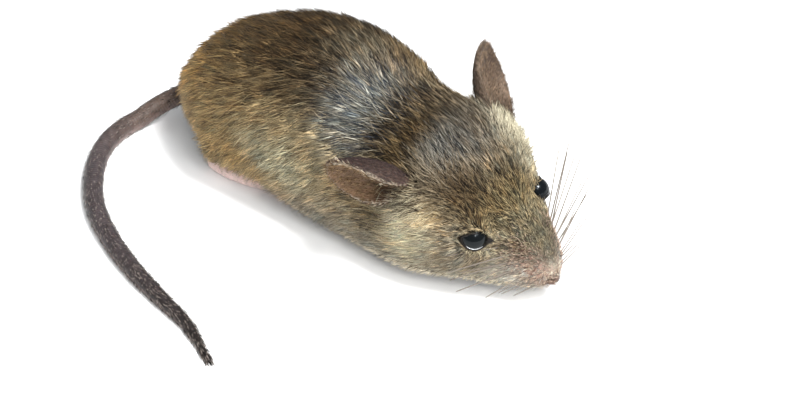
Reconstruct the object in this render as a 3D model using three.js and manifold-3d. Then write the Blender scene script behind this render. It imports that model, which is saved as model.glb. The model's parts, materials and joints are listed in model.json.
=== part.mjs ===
// A house mouse crouched low on the floor, life size, in millimetres.
// It faces -Y with +Z up, so its left side is +X. The origin is on the floor, under the middle of the belly.
// Every solid reaches out to the tips of the coat. The body is modelled whole, then parted with thin cuts.
import * as THREE from "three";
import { LoftGeometry } from "three/addons/geometries/LoftGeometry.js";
import { mergeVertices } from "three/addons/utils/BufferGeometryUtils.js";
import Module from "manifold-3d";

const wasm = await Module();
wasm.setup();

// ---- Driving dimensions ----
const CUT = 0.3; // gap that parts one piece from the next
const BOX = 200; // edge of the blocks that cut, larger than the animal
const SIDES = { left: 1, right: -1 }; // sign of X on each side

// Body stations from rump to snout: place along Y, height of the back, height of the underside, half width,
// and how square the section is over and under its middle (2 is an ellipse).
const STATIONS = [
  { y: 25.6, top: 6.5, bottom: 6.5, half: 0.0, over: 2.0, under: 2.0 },
  { y: 23.2, top: 8.9, bottom: 4.2, half: 2.7, over: 2.0, under: 2.0 },
  { y: 18.0, top: 17.4, bottom: 1.6, half: 8.1, over: 2.0, under: 2.0 },
  { y: 10.0, top: 22.3, bottom: -0.7, half: 11.9, over: 2.0, under: 2.0 },
  { y: 0.0, top: 26.3, bottom: -1.0, half: 12.3, over: 2.0, under: 2.2 },
  { y: -9.0, top: 26.6, bottom: -0.7, half: 11.9, over: 2.0, under: 2.5 },
  { y: -16.5, top: 22.3, bottom: 0.1, half: 11.8, over: 2.1, under: 2.8 },
  { y: -23.0, top: 21.7, bottom: 0.8, half: 12.0, over: 2.4, under: 2.9 },
  { y: -28.5, top: 19.3, bottom: 1.5, half: 10.5, over: 2.5, under: 2.7 },
  { y: -33.0, top: 15.8, bottom: 1.7, half: 8.0, over: 2.4, under: 2.4 },
  { y: -37.0, top: 12.0, bottom: 1.8, half: 4.8, over: 2.2, under: 2.2 },
  { y: -40.0, top: 8.7, bottom: 2.3, half: 2.8, over: 2.0, under: 2.0 },
  { y: -41.7, top: 5.3, bottom: 5.3, half: 0.0, over: 2.0, under: 2.0 },
];
const RINGS_PER_STATION = 3;
const BODY_SPOKES = 24;

// Swellings pushed out of the body's surface, and hollows pushed in. Each is made on both sides.
const SWELLINGS = {
  haunch: { at: [12.0, 10.5, 9.0], reach: 7.0, out: 0.7 },
  shoulder: { at: [10.5, -9.5, 8.0], reach: 6.0, out: 0.3 },
  cheek: { at: [8.0, -28.0, 7.5], reach: 4.5, out: 0.4 },
  whiskerPad: { at: [3.6, -37.8, 5.6], reach: 2.3, out: 0.5 },
  behindEar: { at: [11.0, -18.5, 15.5], reach: 4.2, out: -2.2 },
};

// Where the body is parted, front to back, and how far each cut leans (degrees, top towards the rump).
const SNOUT_CUT = { y: -37.0, lean: -20 };
const HEAD_CUT = { y: -21.0, lean: 14 };
const NECK_CUT = { y: -14.0, lean: 14 };

const EYE = { x: 6.5, y: -32.9, z: 10.6, radius: 1.8, room: 0.25 };
const NOSE = { at: [0, -41.0, 4.2], size: [1.2, 0.9, 1.0] };

// Ears: an oval leaf rolled into a cup. reach runs from root to tip, and opening points out of the cup's
// mouth. rolled gives the half angle that the leaf wraps round, in degrees, at root and tip. The left ear
// is held flatter.
const EAR = {
  length: 12.3,
  width: 9.0,
  thick: 0.75,
  arch: 1.2,
  blunt: 0.09, // least width, at the tip, as a share of the whole
  left: {
    root: [7.8, -24.6, 16.6],
    reach: [0.618, 0.689, 0.379],
    opening: [0.648, -0.719, 0.251],
    rolled: { root: 70, tip: 48 },
    bow: 1.24,
    widest: 0.53, // share of the length at which the leaf is broadest
    pointed: 0.56, // 0.5 gives a round end, 1 a pointed one
  },
  right: {
    root: [-8.7, -25.9, 16.5],
    reach: [-0.408, 0.898, 0.163],
    opening: [-0.848, -0.307, -0.432],
    rolled: { root: 120, tip: 31 },
    bow: 1.28,
    widest: 0.6,
    pointed: 0.58,
  },
};

const THIGH = { at: [9.4, 9.6, 8.0], size: [5.4, 8.6, 7.6] };
const FORELEG = {
  shoulder: [10.4, -9.0, 11.0],
  elbow: [9.6, -13.0, 5.6],
  wrist: [4.6, -18.8, 1.9],
  thick: 8.6,
  wristThick: 3.0,
};

// Feet: the line of the sole's middle, from heel or wrist to the roots of the toes.
const HIND_FOOT = {
  heel: [7.5, 13.8],
  toeRoot: [5.2, 2.2],
  bowed: 0.9, // how far the sole's middle bends outwards
  wide: 3.5,
  high: 2.6,
  toe: 4.4,
  toeWide: 1.1,
  toes: 5,
};
const FORE_FOOT = {
  heel: [4.2, -19.3],
  toeRoot: [3.8, -23.0],
  bowed: 0,
  wide: 2.6,
  high: 2.1,
  toe: 2.6,
  toeWide: 0.9,
  toes: 4,
};

// The tail's middle line, from inside the rump round to the tip. What lies on the floor is set down by
// its own girth.
const TAIL_LINE = [
  [1.0, 19.5, 6.6],
  [0.2, 23.2, 5.6],
  [-1.8, 25.2, 4.4],
  [-4.9, 27.1, 3.0],
  [-10.1, 28.1, 1.5],
  [-15.8, 26.7, 1.4],
  [-21.5, 22.6, 1.4],
  [-26.0, 17.3, 1.4],
  [-29.2, 11.1, 1.3],
  [-31.7, 4.2, 1.3],
  [-33.4, -2.8, 1.1],
  [-34.7, -8.6, 0.9],
  [-37.4, -14.8, 0.6],
];
const TAIL = { root: 3.0, tip: 0.9, rings: 52, spokes: 8, lengths: 4, sunk: 0.12, down: 2.0 };

// ---- Tools ----
const UP = new THREE.Vector3(0, 0, 1);
const vector = (p) => new THREE.Vector3(...p);
const mirrored = (p, side) => [p[0] * side, ...p.slice(1)];
const byAngle = (x, power) => Math.sign(x) * Math.abs(x) ** (2 / power);

// Turns a geometry into a solid that can be cut and joined.
function solid(geometry) {
  const bare = new THREE.BufferGeometry();
  bare.setAttribute("position", geometry.attributes.position);
  bare.setIndex(geometry.index);
  const merged = mergeVertices(bare, 1e-4);
  const made = new wasm.Manifold(
    new wasm.Mesh({
      numProp: 3,
      vertProperties: merged.attributes.position.array,
      triVerts: new Uint32Array(merged.index.array),
    }),
  );
  if (made.volume() < 0) throw new Error("a profile runs the wrong way round");
  return made;
}

// Skins a row of rings into a solid. The rings are turned round if they run clockwise seen from the far end.
function loft(sections) {
  const centre = (ring) => ring.reduce((sum, p) => sum.add(p), new THREE.Vector3()).divideScalar(ring.length);
  const [start, next] = sections.slice(0, 2).map(centre);
  const turn = new THREE.Vector3();
  sections[0].forEach((p, j, ring) => {
    const q = ring[(j + 1) % ring.length];
    turn.add(new THREE.Vector3().crossVectors(p.clone().sub(start), q.clone().sub(start)));
  });
  if (turn.dot(next.sub(start)) < 0) sections.forEach((ring) => ring.reverse());
  return solid(new LoftGeometry(sections, { capStart: true, capEnd: true }));
}

// Turns a solid into a named mesh. Crumbs left by a cut are dropped: only its largest body is kept.
function mesh(name, made, material) {
  const largest = made.decompose().sort((a, b) => b.volume() - a.volume())[0];
  const raw = largest.getMesh();
  const geometry = new THREE.BufferGeometry();
  geometry.setAttribute("position", new THREE.BufferAttribute(raw.vertProperties.slice(), 3));
  geometry.setIndex(new THREE.BufferAttribute(raw.triVerts.slice(), 1));
  geometry.computeVertexNormals();
  const piece = new THREE.Mesh(geometry, material);
  piece.name = name;
  return piece;
}

// A block whose face passes through a point and that fills the side its normal points to.
function halfSpace(point, normal) {
  const block = new THREE.BoxGeometry(BOX, BOX, BOX);
  block.translate(0, 0, BOX / 2);
  block.applyQuaternion(new THREE.Quaternion().setFromUnitVectors(UP, normal));
  block.translate(point.x, point.y, point.z);
  return solid(block);
}

const aboveFloor = halfSpace(new THREE.Vector3(), UP);

// Catmull-Rom value between b and c.
function between(a, b, c, d, f) {
  const [slopeB, slopeC] = [(c - a) / 2, (d - b) / 2];
  const f2 = f * f;
  const f3 = f2 * f;
  return (2 * f3 - 3 * f2 + 1) * b + (f3 - 2 * f2 + f) * slopeB + (3 * f2 - 2 * f3) * c + (f3 - f2) * slopeC;
}

// A limb of oval section along a smooth line, with round ends. wide and high are full sizes at a share s.
function limb(line, wide, high, rings, spokes) {
  const curve = new THREE.CatmullRomCurve3(line.map(vector), false, "centripetal");
  const length = curve.getLength();
  const sections = [];
  for (let i = 0; i <= rings; i++) {
    const s = 0.002 + 0.996 * (0.5 - 0.5 * Math.cos((Math.PI * i) / rings));
    const toEnd = (Math.min(s, 1 - s) * length) / (wide(s) / 2);
    const round = toEnd < 1 ? Math.sqrt(1 - (1 - toEnd) ** 2) : 1;
    const along = curve.getTangentAt(s);
    const side = new THREE.Vector3().crossVectors(along, UP).normalize();
    const over = new THREE.Vector3().crossVectors(side, along).normalize();
    const middle = curve.getPointAt(s);
    const ring = [];
    for (let j = 0; j < spokes; j++) {
      const angle = (2 * Math.PI * j) / spokes;
      const across = (Math.cos(angle) * wide(s) * round) / 2;
      const lift = (Math.sin(angle) * high(s) * round) / 2;
      ring.push(middle.clone().addScaledVector(side, -across).addScaledVector(over, lift));
    }
    sections.push(ring);
  }
  return loft(sections);
}

// ---- Body ----
// Past each end the profile turns back on its other side, so that rump and snout close round.
const lastStation = STATIONS.length - 1;
const turned = (s) => ({ ...s, top: s.bottom, bottom: s.top, half: -s.half });
function stationAt(k) {
  if (k < 0) return turned(STATIONS[-k]);
  return k > lastStation ? turned(STATIONS[2 * lastStation - k]) : STATIONS[k];
}

function bodyMeasures(t) {
  const k = Math.min(Math.floor(t), lastStation - 1);
  const four = [k - 1, k, k + 1, k + 2].map(stationAt);
  const value = (key) => between(...four.map((s) => s[key]), t - k);
  return Object.fromEntries(Object.keys(STATIONS[0]).map((key) => [key, value(key)]));
}

// How far the swellings push the surface at a point.
function swell(point) {
  let out = 0;
  for (const { at, reach, out: height } of Object.values(SWELLINGS)) {
    for (const side of Object.values(SIDES)) {
      const distance = point.distanceTo(vector(mirrored(at, side)));
      out += height * Math.exp(-((distance / reach) ** 2));
    }
  }
  return out;
}

// The whole body from rump to snout, grown outwards by a given amount.
function body(grow = 0) {
  const rings = lastStation * RINGS_PER_STATION;
  const sections = [];
  for (let i = 0; i <= rings; i++) {
    const end = i === 0 || i === rings;
    const t = end ? Math.abs(i / RINGS_PER_STATION - 0.04) : i / RINGS_PER_STATION;
    const s = bodyMeasures(t);
    const middle = new THREE.Vector3(0, s.y, (s.top + s.bottom) / 2);
    const ring = [];
    for (let j = 0; j < BODY_SPOKES; j++) {
      const angle = (2 * Math.PI * j) / BODY_SPOKES;
      const [c, h] = [Math.cos(angle), Math.sin(angle)];
      const power = h >= 0 ? s.over : s.under;
      const point = new THREE.Vector3(
        s.half * byAngle(c, power),
        s.y,
        middle.z + ((s.top - s.bottom) / 2) * byAngle(h, power),
      );
      const outward = point.clone().sub(middle).normalize();
      ring.push(point.addScaledVector(outward, swell(point) + grow));
    }
    sections.push(ring);
  }
  return loft(sections);
}

// A block in front of a leaning cut across the body.
function inFrontOf({ y, lean }, shift = 0) {
  const angle = THREE.MathUtils.degToRad(lean);
  const normal = new THREE.Vector3(0, -Math.cos(angle), -Math.sin(angle));
  return halfSpace(new THREE.Vector3(0, y + shift, 10), normal);
}

// ---- Ears ----
// A leaf of even thickness: each section across it is an arc, wrapped furthest round at the root.
function ear(name) {
  const { length, width, thick, arch, blunt } = EAR;
  const { root, rolled, bow, widest, pointed, ...held } = EAR[name];
  const reach = vector(held.reach).normalize();
  const facing = vector(held.opening);
  const opening = facing.addScaledVector(reach, -facing.dot(reach)).normalize();
  const across = new THREE.Vector3().crossVectors(opening, reach);
  const [rings, spokes] = [11, 7];
  const sections = [];
  for (let i = 0; i <= rings; i++) {
    const s = 0.03 + 0.962 * Math.sin(((i / rings) * Math.PI) / 2);
    const beyond = s > widest ? (s - widest) / (1 - widest) : (s - widest) / widest;
    const outline = Math.max(0, 1 - beyond ** 2) ** (s > widest ? pointed : 0.5);
    const halfWidth = (width / 2) * Math.max(outline, 0.5 - s, blunt);
    const wrap = THREE.MathUtils.degToRad(THREE.MathUtils.lerp(rolled.root, rolled.tip, s));
    const radius = halfWidth / Math.sin(Math.min(wrap, Math.PI / 2));
    const bend = bow * s * s - arch * 4 * s * (1 - s) * (1.3 - 0.6 * s);
    const middle = vector(root).addScaledVector(reach, length * s).addScaledVector(opening, bend);
    const ring = [];
    for (const way of [1, -1]) {
      for (let j = 0; j <= spokes; j++) {
        const angle = way * wrap * ((2 * j) / spokes - 1);
        const r = radius + (way * thick) / 2;
        ring.push(
          middle
            .clone()
            .addScaledVector(across, r * Math.sin(angle))
            .addScaledVector(opening, radius - r * Math.cos(angle)),
        );
      }
    }
    sections.push(ring);
  }
  return loft(sections);
}

// ---- Legs and feet ----
// A foot flat on the floor: a sole with a round heel, and toes that fan out from its front.
function foot({ heel, toeRoot, bowed, wide, high, toe, toeWide, toes }, side) {
  const rise = high / 2 - 0.1;
  const line = [
    [heel[0] * side, heel[1], rise],
    [((heel[0] + toeRoot[0]) / 2 + bowed) * side, (heel[1] + toeRoot[1]) / 2, rise * 0.9],
    [toeRoot[0] * side, toeRoot[1], rise * 0.75],
  ];
  let made = limb(line, (s) => wide * (0.72 + 0.28 * s), (s) => high * (1 - 0.3 * s), 7, 9);
  for (let i = 0; i < toes; i++) {
    const fan = (i - (toes - 1) / 2) / ((toes - 1) / 2); // -1 at the inner toe to 1 at the outer
    const start = [(toeRoot[0] + fan * (wide / 2 - toeWide / 2)) * side, toeRoot[1] + 0.9, toeWide * 0.62];
    const reach = toe * (1 - 0.22 * fan * fan);
    const knuckle = [start[0] + fan * 0.35 * side, start[1] - 0.9 - reach * 0.5, toeWide * 0.72];
    const tip = [start[0] + fan * 0.8 * side, start[1] - 0.9 - reach, toeWide * 0.42];
    const thick = (s) => toeWide * (1 - 0.25 * s);
    made = made.add(limb([start, knuckle, tip], thick, thick, 4, 5));
  }
  return made.intersect(aboveFloor);
}

// The hollow that the body leaves over a foot.
function footRoom({ heel, toeRoot, bowed, wide, high, toe }, side) {
  const line = [
    [heel[0] * side, heel[1] + 2 * CUT, 0],
    [((heel[0] + toeRoot[0]) / 2 + bowed) * side, (heel[1] + toeRoot[1]) / 2, 0],
    [toeRoot[0] * side, toeRoot[1], 0],
    [toeRoot[0] * side, toeRoot[1] - toe - 5 * CUT, 0],
  ];
  const width = (s) => wide * (0.9 + 0.7 * s) + 3 * CUT;
  const height = (s) => 2 * (high * (1.05 - 0.25 * s) + CUT);
  return limb(line, width, height, 6, 8);
}

function foreleg(side, grow = 0) {
  const { shoulder, elbow, wrist, thick, wristThick } = FORELEG;
  const width = (s) => THREE.MathUtils.lerp(thick, wristThick, s) + 2 * grow;
  return limb([shoulder, elbow, wrist].map((p) => mirrored(p, side)), width, width, 7, 12);
}

function ellipsoid({ at, size }, side, grow = 0) {
  const ball = new THREE.SphereGeometry(1, 12, 8);
  ball.scale(size[0] + grow, size[1] + grow, size[2] + grow);
  ball.translate(at[0] * side, at[1], at[2]);
  return solid(ball);
}

function eyeball(side, grow = 0) {
  const ball = new THREE.SphereGeometry(EYE.radius + grow, 14, 8);
  ball.translate(EYE.x * side, EYE.y, EYE.z);
  return solid(ball);
}

// ---- Tail ----
// One length of the tail between two shares of its run, lying on the floor with a narrow flat underneath.
const tailLine = new THREE.CatmullRomCurve3(TAIL_LINE.map(vector), false, "centripetal");
function tailThickness(s) {
  return TAIL.tip + (TAIL.root - TAIL.tip) * (1 - s ** 4) ** 0.8;
}

function tailLength(from, to, grow = 0) {
  const rings = Math.round(TAIL.rings * (to - from));
  const sections = [];
  for (let i = 0; i <= rings; i++) {
    const s = THREE.MathUtils.lerp(from, to, i / rings);
    const radius = tailThickness(s) / 2 + grow;
    const point = tailLine.getPointAt(s);
    const along = tailLine.getTangentAt(s);
    const side = new THREE.Vector3(along.y, -along.x, 0).normalize();
    const over = new THREE.Vector3().crossVectors(side, along);
    // Once down, the line keeps the height at which the underside is just cut flat by the floor.
    const lying = tailThickness(s) / 2 - TAIL.sunk;
    const lifted = Math.max(0, point.z - TAIL.down) / (1 + Math.exp(-6 * (point.z - TAIL.down)));
    point.z = lying + lifted;
    const ring = [];
    for (let j = 0; j < TAIL.spokes; j++) {
      const angle = (2 * Math.PI * (j + 0.5)) / TAIL.spokes;
      ring.push(
        point
          .clone()
          .addScaledVector(side, -radius * Math.cos(angle))
          .addScaledVector(over, radius * Math.sin(angle)),
      );
    }
    sections.push(ring);
  }
  return loft(sections).intersect(aboveFloor);
}

// ---- Materials ----
const finish = (color, roughness) => new THREE.MeshStandardMaterial({ color, roughness, metalness: 0 });
const coat = finish(0x8a7d60, 0.9);
const bareSkin = finish(0xd8b8ac, 0.6);
const earSkin = finish(0x7a655a, 0.7);
const tailSkin = finish(0x6e6260, 0.65);
const wetEye = finish(0x14161a, 0.05);

// ---- Assembly ----
const mouse = new THREE.Group();
const whole = body().intersect(aboveFloor);
const halfCut = CUT / 2;

const snout = whole.intersect(inFrontOf(SNOUT_CUT, -halfCut)).subtract(ellipsoid(NOSE, 1, CUT));
let head = whole.subtract(inFrontOf(SNOUT_CUT, halfCut)).intersect(inFrontOf(HEAD_CUT, -halfCut));
let neck = whole.subtract(inFrontOf(HEAD_CUT, halfCut)).intersect(inFrontOf(NECK_CUT, -halfCut));
let trunk = whole.subtract(inFrontOf(NECK_CUT, halfCut)).subtract(tailLength(0, 0.2, CUT));

for (const [name, side] of Object.entries(SIDES)) {
  head = head.subtract(eyeball(side, EYE.room));
  mouse.add(mesh(`eye_${name}`, eyeball(side), wetEye));
  mouse.add(mesh(`ear_${name}`, ear(name).subtract(body(CUT)), earSkin));

  const hindRoom = footRoom(HIND_FOOT, side);
  const foreRoom = footRoom(FORE_FOOT, side);
  const legRoom = foreleg(side, CUT);
  mouse.add(mesh(`thigh_${name}`, whole.intersect(ellipsoid(THIGH, side)).subtract(hindRoom), coat));
  mouse.add(mesh(`hind_foot_${name}`, foot(HIND_FOOT, side), bareSkin));
  mouse.add(mesh(`foreleg_${name}`, whole.intersect(foreleg(side)).subtract(foreRoom), coat));
  mouse.add(mesh(`forefoot_${name}`, foot(FORE_FOOT, side), bareSkin));
  trunk = trunk.subtract(ellipsoid(THIGH, side, CUT)).subtract(hindRoom).subtract(legRoom).subtract(foreRoom);
  neck = neck.subtract(legRoom).subtract(foreRoom);
  head = head.subtract(legRoom).subtract(foreRoom);
}

mouse.add(mesh("nose", ellipsoid(NOSE, 1), bareSkin));
mouse.add(mesh("snout", snout, coat));
mouse.add(mesh("head", head, coat));
mouse.add(mesh("neck", neck, coat));
mouse.add(mesh("trunk", trunk, coat));

const tailGap = CUT / tailLine.getLength();
for (let i = 0; i < TAIL.lengths; i++) {
  const from = i / TAIL.lengths + (i ? tailGap / 2 : 0);
  const to = (i + 1) / TAIL.lengths - (i < TAIL.lengths - 1 ? tailGap / 2 : 0);
  mouse.add(mesh(`tail_${i + 1}`, tailLength(from, to), tailSkin));
}

export default mouse;
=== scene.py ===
# %% [markdown]
# # A house mouse at life size
# A small grey-brown mouse crouches on a pale floor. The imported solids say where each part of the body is,
# out to the tips of the hairs. This lesson grows one skin inside them, shapes the face, and then covers
# the skin with a coat of short thin hairs that lie from the nose towards the tail.

import json

import bmesh
import bpy
import numpy as np
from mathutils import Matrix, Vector, kdtree

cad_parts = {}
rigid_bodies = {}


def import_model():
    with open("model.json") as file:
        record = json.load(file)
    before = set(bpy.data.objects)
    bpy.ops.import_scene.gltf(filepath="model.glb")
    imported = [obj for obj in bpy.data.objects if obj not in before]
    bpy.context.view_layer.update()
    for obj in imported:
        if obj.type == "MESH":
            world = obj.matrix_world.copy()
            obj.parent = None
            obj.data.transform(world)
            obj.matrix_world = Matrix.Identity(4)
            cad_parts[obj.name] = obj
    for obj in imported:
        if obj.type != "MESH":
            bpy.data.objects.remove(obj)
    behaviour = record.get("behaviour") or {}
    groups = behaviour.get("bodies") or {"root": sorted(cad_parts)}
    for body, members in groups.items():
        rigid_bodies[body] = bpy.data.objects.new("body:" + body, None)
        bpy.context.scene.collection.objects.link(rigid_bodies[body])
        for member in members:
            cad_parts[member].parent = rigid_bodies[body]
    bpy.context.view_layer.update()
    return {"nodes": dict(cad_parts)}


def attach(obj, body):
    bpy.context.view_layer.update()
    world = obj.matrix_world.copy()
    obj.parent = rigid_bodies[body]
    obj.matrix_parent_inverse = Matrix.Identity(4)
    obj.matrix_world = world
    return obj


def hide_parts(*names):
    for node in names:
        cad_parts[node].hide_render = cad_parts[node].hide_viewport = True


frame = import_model()
MM = 0.001
SIDES = {"left": 1, "right": -1}
print("solids in the frame:", len(frame["nodes"]))

# %% [markdown]
# ## Camera
# A small animal is best seen through a long lens from about 300 mm away, which keeps its proportions and
# leaves its near and far parts almost equally large. The camera could be given a place and three turns.
# Here it is placed by its bearing round the mouse and its height above the floor, both as angles from one
# target point, because those are the numbers a maker would change.

# %% Camera
CAMERA = {"target": (-4.1, -18.5, 8.0), "bearing": -49.7, "height": 37.9, "distance": 300.0, "lens": 101.8}


def direction(bearing, height):
    """Unit vector from the target, at a bearing round Z from -Y and a height above level, in degrees."""
    round_z, up = np.radians([bearing, height])
    return Vector((np.sin(round_z) * np.cos(up), -np.cos(round_z) * np.cos(up), np.sin(up)))


def aim(piece, place, target):
    """Puts a camera or a lamp at a place and points it at a target."""
    piece.location = place
    piece.rotation_euler = (Vector(target) - Vector(place)).to_track_quat("-Z", "Y").to_euler()


camera_data = bpy.data.cameras.new("camera")
camera_data.lens = CAMERA["lens"]
camera = bpy.data.objects.new("camera", camera_data)
bpy.context.scene.collection.objects.link(camera)
target = Vector(CAMERA["target"]) * MM
aim(camera, target + direction(CAMERA["bearing"], CAMERA["height"]) * CAMERA["distance"] * MM, target)
bpy.context.scene.camera = camera
print("camera at", [round(c, 3) for c in camera.location])

# %% [markdown]
# ## Small tools
# A mesh holds its points as one long array, which numpy reads and writes in one go. These few tools read
# the points, write them back, and smooth them. The smoothing steps forward and back (Taubin's way), so
# that it irons out facets without shrinking the body.

# %% Tools for meshes
def points_of(mesh):
    """The mesh's points as an array with a row for each."""
    flat = np.empty(len(mesh.vertices) * 3, np.float32)
    mesh.vertices.foreach_get("co", flat)
    return flat.reshape(-1, 3).astype(float)


def normals_of(mesh):
    """The mesh's outward directions, a row for each point."""
    flat = np.empty(len(mesh.vertices) * 3, np.float32)
    mesh.vertex_normals.foreach_get("vector", flat)
    return flat.reshape(-1, 3).astype(float)


def set_points(mesh, points):
    """Writes moved points back to the mesh."""
    mesh.vertices.foreach_set("co", points.astype(np.float32).ravel())
    mesh.update()


# %% Tools for objects
def new_object(name, mesh):
    """Makes an object for a mesh and shows it in the scene."""
    piece = bpy.data.objects.new(name, mesh)
    bpy.context.scene.collection.objects.link(piece)
    return piece


def from_bmesh(name, bm):
    """Turns a bmesh into an object."""
    mesh = bpy.data.meshes.new(name)
    bm.to_mesh(mesh)
    bm.free()
    return new_object(name, mesh)


def apply_modifiers(piece):
    """Makes a piece's modifiers final."""
    graph = bpy.context.evaluated_depsgraph_get()
    mesh = bpy.data.meshes.new_from_object(piece.evaluated_get(graph))
    piece.modifiers.clear()
    piece.data = mesh


def fuse(piece, voxel):
    """Fuses overlapping shells into one closed skin, by a remesh over small cubes."""
    modifier = piece.modifiers.new("fuse", "REMESH")
    modifier.mode = "VOXEL"
    modifier.voxel_size = voxel
    apply_modifiers(piece)


def smooth(mesh, times, share=1.0):
    """Irons the mesh. share is how much of the move each point takes."""
    points = points_of(mesh)
    count = len(points)
    ends = np.empty(len(mesh.edges) * 2, np.int32)
    mesh.edges.foreach_get("vertices", ends)
    a, b = ends.reshape(-1, 2).T
    neighbours = np.bincount(np.concatenate([a, b]), minlength=count)[:, None]
    share = np.broadcast_to(np.asarray(share, float).reshape(-1, 1), (count, 1))
    for step in [0.5, -0.52] * times:
        sums = [np.bincount(a, points[b, i], count) + np.bincount(b, points[a, i], count) for i in range(3)]
        points += step * share * (np.stack(sums, axis=1) / neighbours - points)
    set_points(mesh, points)


# %% Tools for numbers and places
def rise(x, start, end):
    """0 before start, 1 after end, and smooth between. End may be lower than start."""
    t = np.clip((x - start) / (end - start), 0, 1)
    return t * t * (3 - 2 * t)


def unit(rows):
    """Each row scaled to length 1."""
    return rows / np.maximum(np.linalg.norm(rows, axis=-1, keepdims=True), 1e-12)


def distance_to_line(points, line):
    """Distance from each point to the nearest place on a chain of straight pieces."""
    line = np.array(line, float)
    nearest_yet = np.full(len(points), np.inf)
    for a, b in zip(line[:-1], line[1:]):
        t = np.clip((points - a) @ (b - a) / ((b - a) @ (b - a)), 0, 1)
        nearest_yet = np.minimum(nearest_yet, np.linalg.norm(points - a - t[:, None] * (b - a), axis=1))
    return nearest_yet


def folded(points):
    """Places in millimetres with the left half laid over the right, for what is alike on both sides."""
    return np.column_stack([np.abs(points[:, 0]), points[:, 1:]]) / MM


def tree_of(places):
    """A search tree that finds the nearest of some places."""
    tree = kdtree.KDTree(len(places))
    for index, place in enumerate(places):
        tree.insert(place, index)
    tree.balance()
    return tree


def nearest(tree, points):
    """Index of the place in a tree that is nearest to each point."""
    return np.array([tree.find(point)[1] for point in points], int)


# %% [markdown]
# ## The furred body
# On a real mouse the trunk, neck, head and thighs are under one skin. The solids that stand for them are
# parted by thin cuts, so copies of them are swollen until they touch, fused into one shell and ironed.
# The solids reach to the tips of the hairs, so the shell then sinks by the depth of the coat, which is
# deepest on the back and next to nothing at the nose.

# %% Fuse the furred solids
FURRED = ["trunk", "neck", "head", "snout"]
FURRED += [f"{part}_{side}" for part in ("thigh", "foreleg", "eye") for side in SIDES]
SWELL = 0.22 * MM
BODY_VOXEL = 0.5 * MM


def joined_copy(name, nodes):
    """One bmesh object with copies of some CAD solids, their loose triangles merged."""
    bm = bmesh.new()
    for node in nodes:
        bm.from_mesh(frame["nodes"][node].data)
    bmesh.ops.remove_doubles(bm, verts=bm.verts, dist=0.001 * MM)
    return from_bmesh(name, bm)


body = joined_copy("body", FURRED)
set_points(body.data, points_of(body.data) + normals_of(body.data) * SWELL)
fuse(body, BODY_VOXEL)
smooth(body.data, 12)
print("furred body:", len(body.data.polygons), "faces")

# %% Sink it by the coat's depth
# Depth of the coat in mm at places along Y, from the nose to the rump.
DEPTH_ALONG = [
    (-41.5, 0.12), (-38, 0.3), (-34, 0.55), (-28, 0.9), (-21, 1.35),
    (-12, 1.9), (4, 2.2), (18, 2.0), (25, 1.2),
]
DEPTH_LOW = 0.4  # share of that depth left near the floor
SOLE = [(7.6, 13.8, 1.5), (7.3, 8.2, 1.5), (5.4, 2.2, 1.5)]
SOLE_REACH = 5.0
SOLE_BARED = 1.5 * MM


def coat_depth(points):
    """Depth of the coat in metres: a profile from nose to rump, thinner low down on legs and belly."""
    place, depth = np.transpose(DEPTH_ALONG)
    low = rise(points[:, 2] / MM, 1.0, 8.0)
    return np.interp(points[:, 1] / MM, place, depth) * (DEPTH_LOW + (1 - DEPTH_LOW) * low) * MM


def over_foot(points):
    """How close each point is to a hind foot, from 0 to 1. The thigh's fur ends over it."""
    return np.exp(-((distance_to_line(folded(points), SOLE) / SOLE_REACH) ** 2))


def sink(mesh, depth):
    """Moves a mesh inwards by a depth for each point."""
    set_points(mesh, points_of(mesh) - normals_of(mesh) * depth[:, None])


bared = SOLE_BARED * over_foot(points_of(body.data))
sink(body.data, coat_depth(points_of(body.data)) + SWELL + bared)
smooth(body.data, 3)
print("body box after sinking:", [round(v / MM, 1) for v in body.dimensions])

# %% [markdown]
# ## Ears
# A mouse's ear is a thin leaf of skin, rolled into a cup at its root and opening flat towards the tip.
# Each one is held its own way. It could be sculpted by hand; a flat grid gives the same leaf from a few
# measures. Its columns are wrapped round an arc, its rows run from root to tip, and Solidify gives it its
# thickness.

# %% Measures of the ears, in mm
EAR_WIDTH = 9.0
EAR_ARCH = 1.2
EAR_THICK = 0.55
EAR_BLUNT = 0.09
EAR_TIP = 0.992
# Root, length in mm, directions of the ear and of its opening, half the angle that the leaf is wrapped
# round at root and tip, how far the tip bows, and the outline: where it is widest, how pointed, and how
# narrow below.
EARS = {
    "left": {
        "root": (7.8, -24.6, 16.6),
        "length": 12.7,
        "reach": (0.618, 0.689, 0.379),
        "opening": (0.479, -0.712, 0.514),
        "wrap": (62, 42),
        "bow": 1.24,
        "widest": 0.4,
        "pointed": 0.86,
        "rooted": 0.5,
        "pinched": 0.5,
        "start": 0.04,
    },
    "right": {
        "root": (-9.15, -24.9, 16.7),
        "length": 11.3,
        "reach": (-0.408, 0.898, 0.163),
        "opening": (-0.848, -0.307, -0.432),
        "wrap": (120, 31),
        "bow": 1.28,
        "widest": 0.6,
        "pointed": 0.58,
        "rooted": 0.24,
        "pinched": 1.1,
        "start": 0.04,
    },
}


print("length of the ears:", {side: EARS[side]["length"] for side in SIDES})


# %% Shape the ears
def ear_axes(held):
    """Across, along and out-of-the-cup directions of an ear."""
    reach = unit(np.array(held["reach"]))
    facing = np.array(held["opening"])
    opening = unit(facing - reach * (facing @ reach))
    return np.cross(opening, reach), reach, opening


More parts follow.
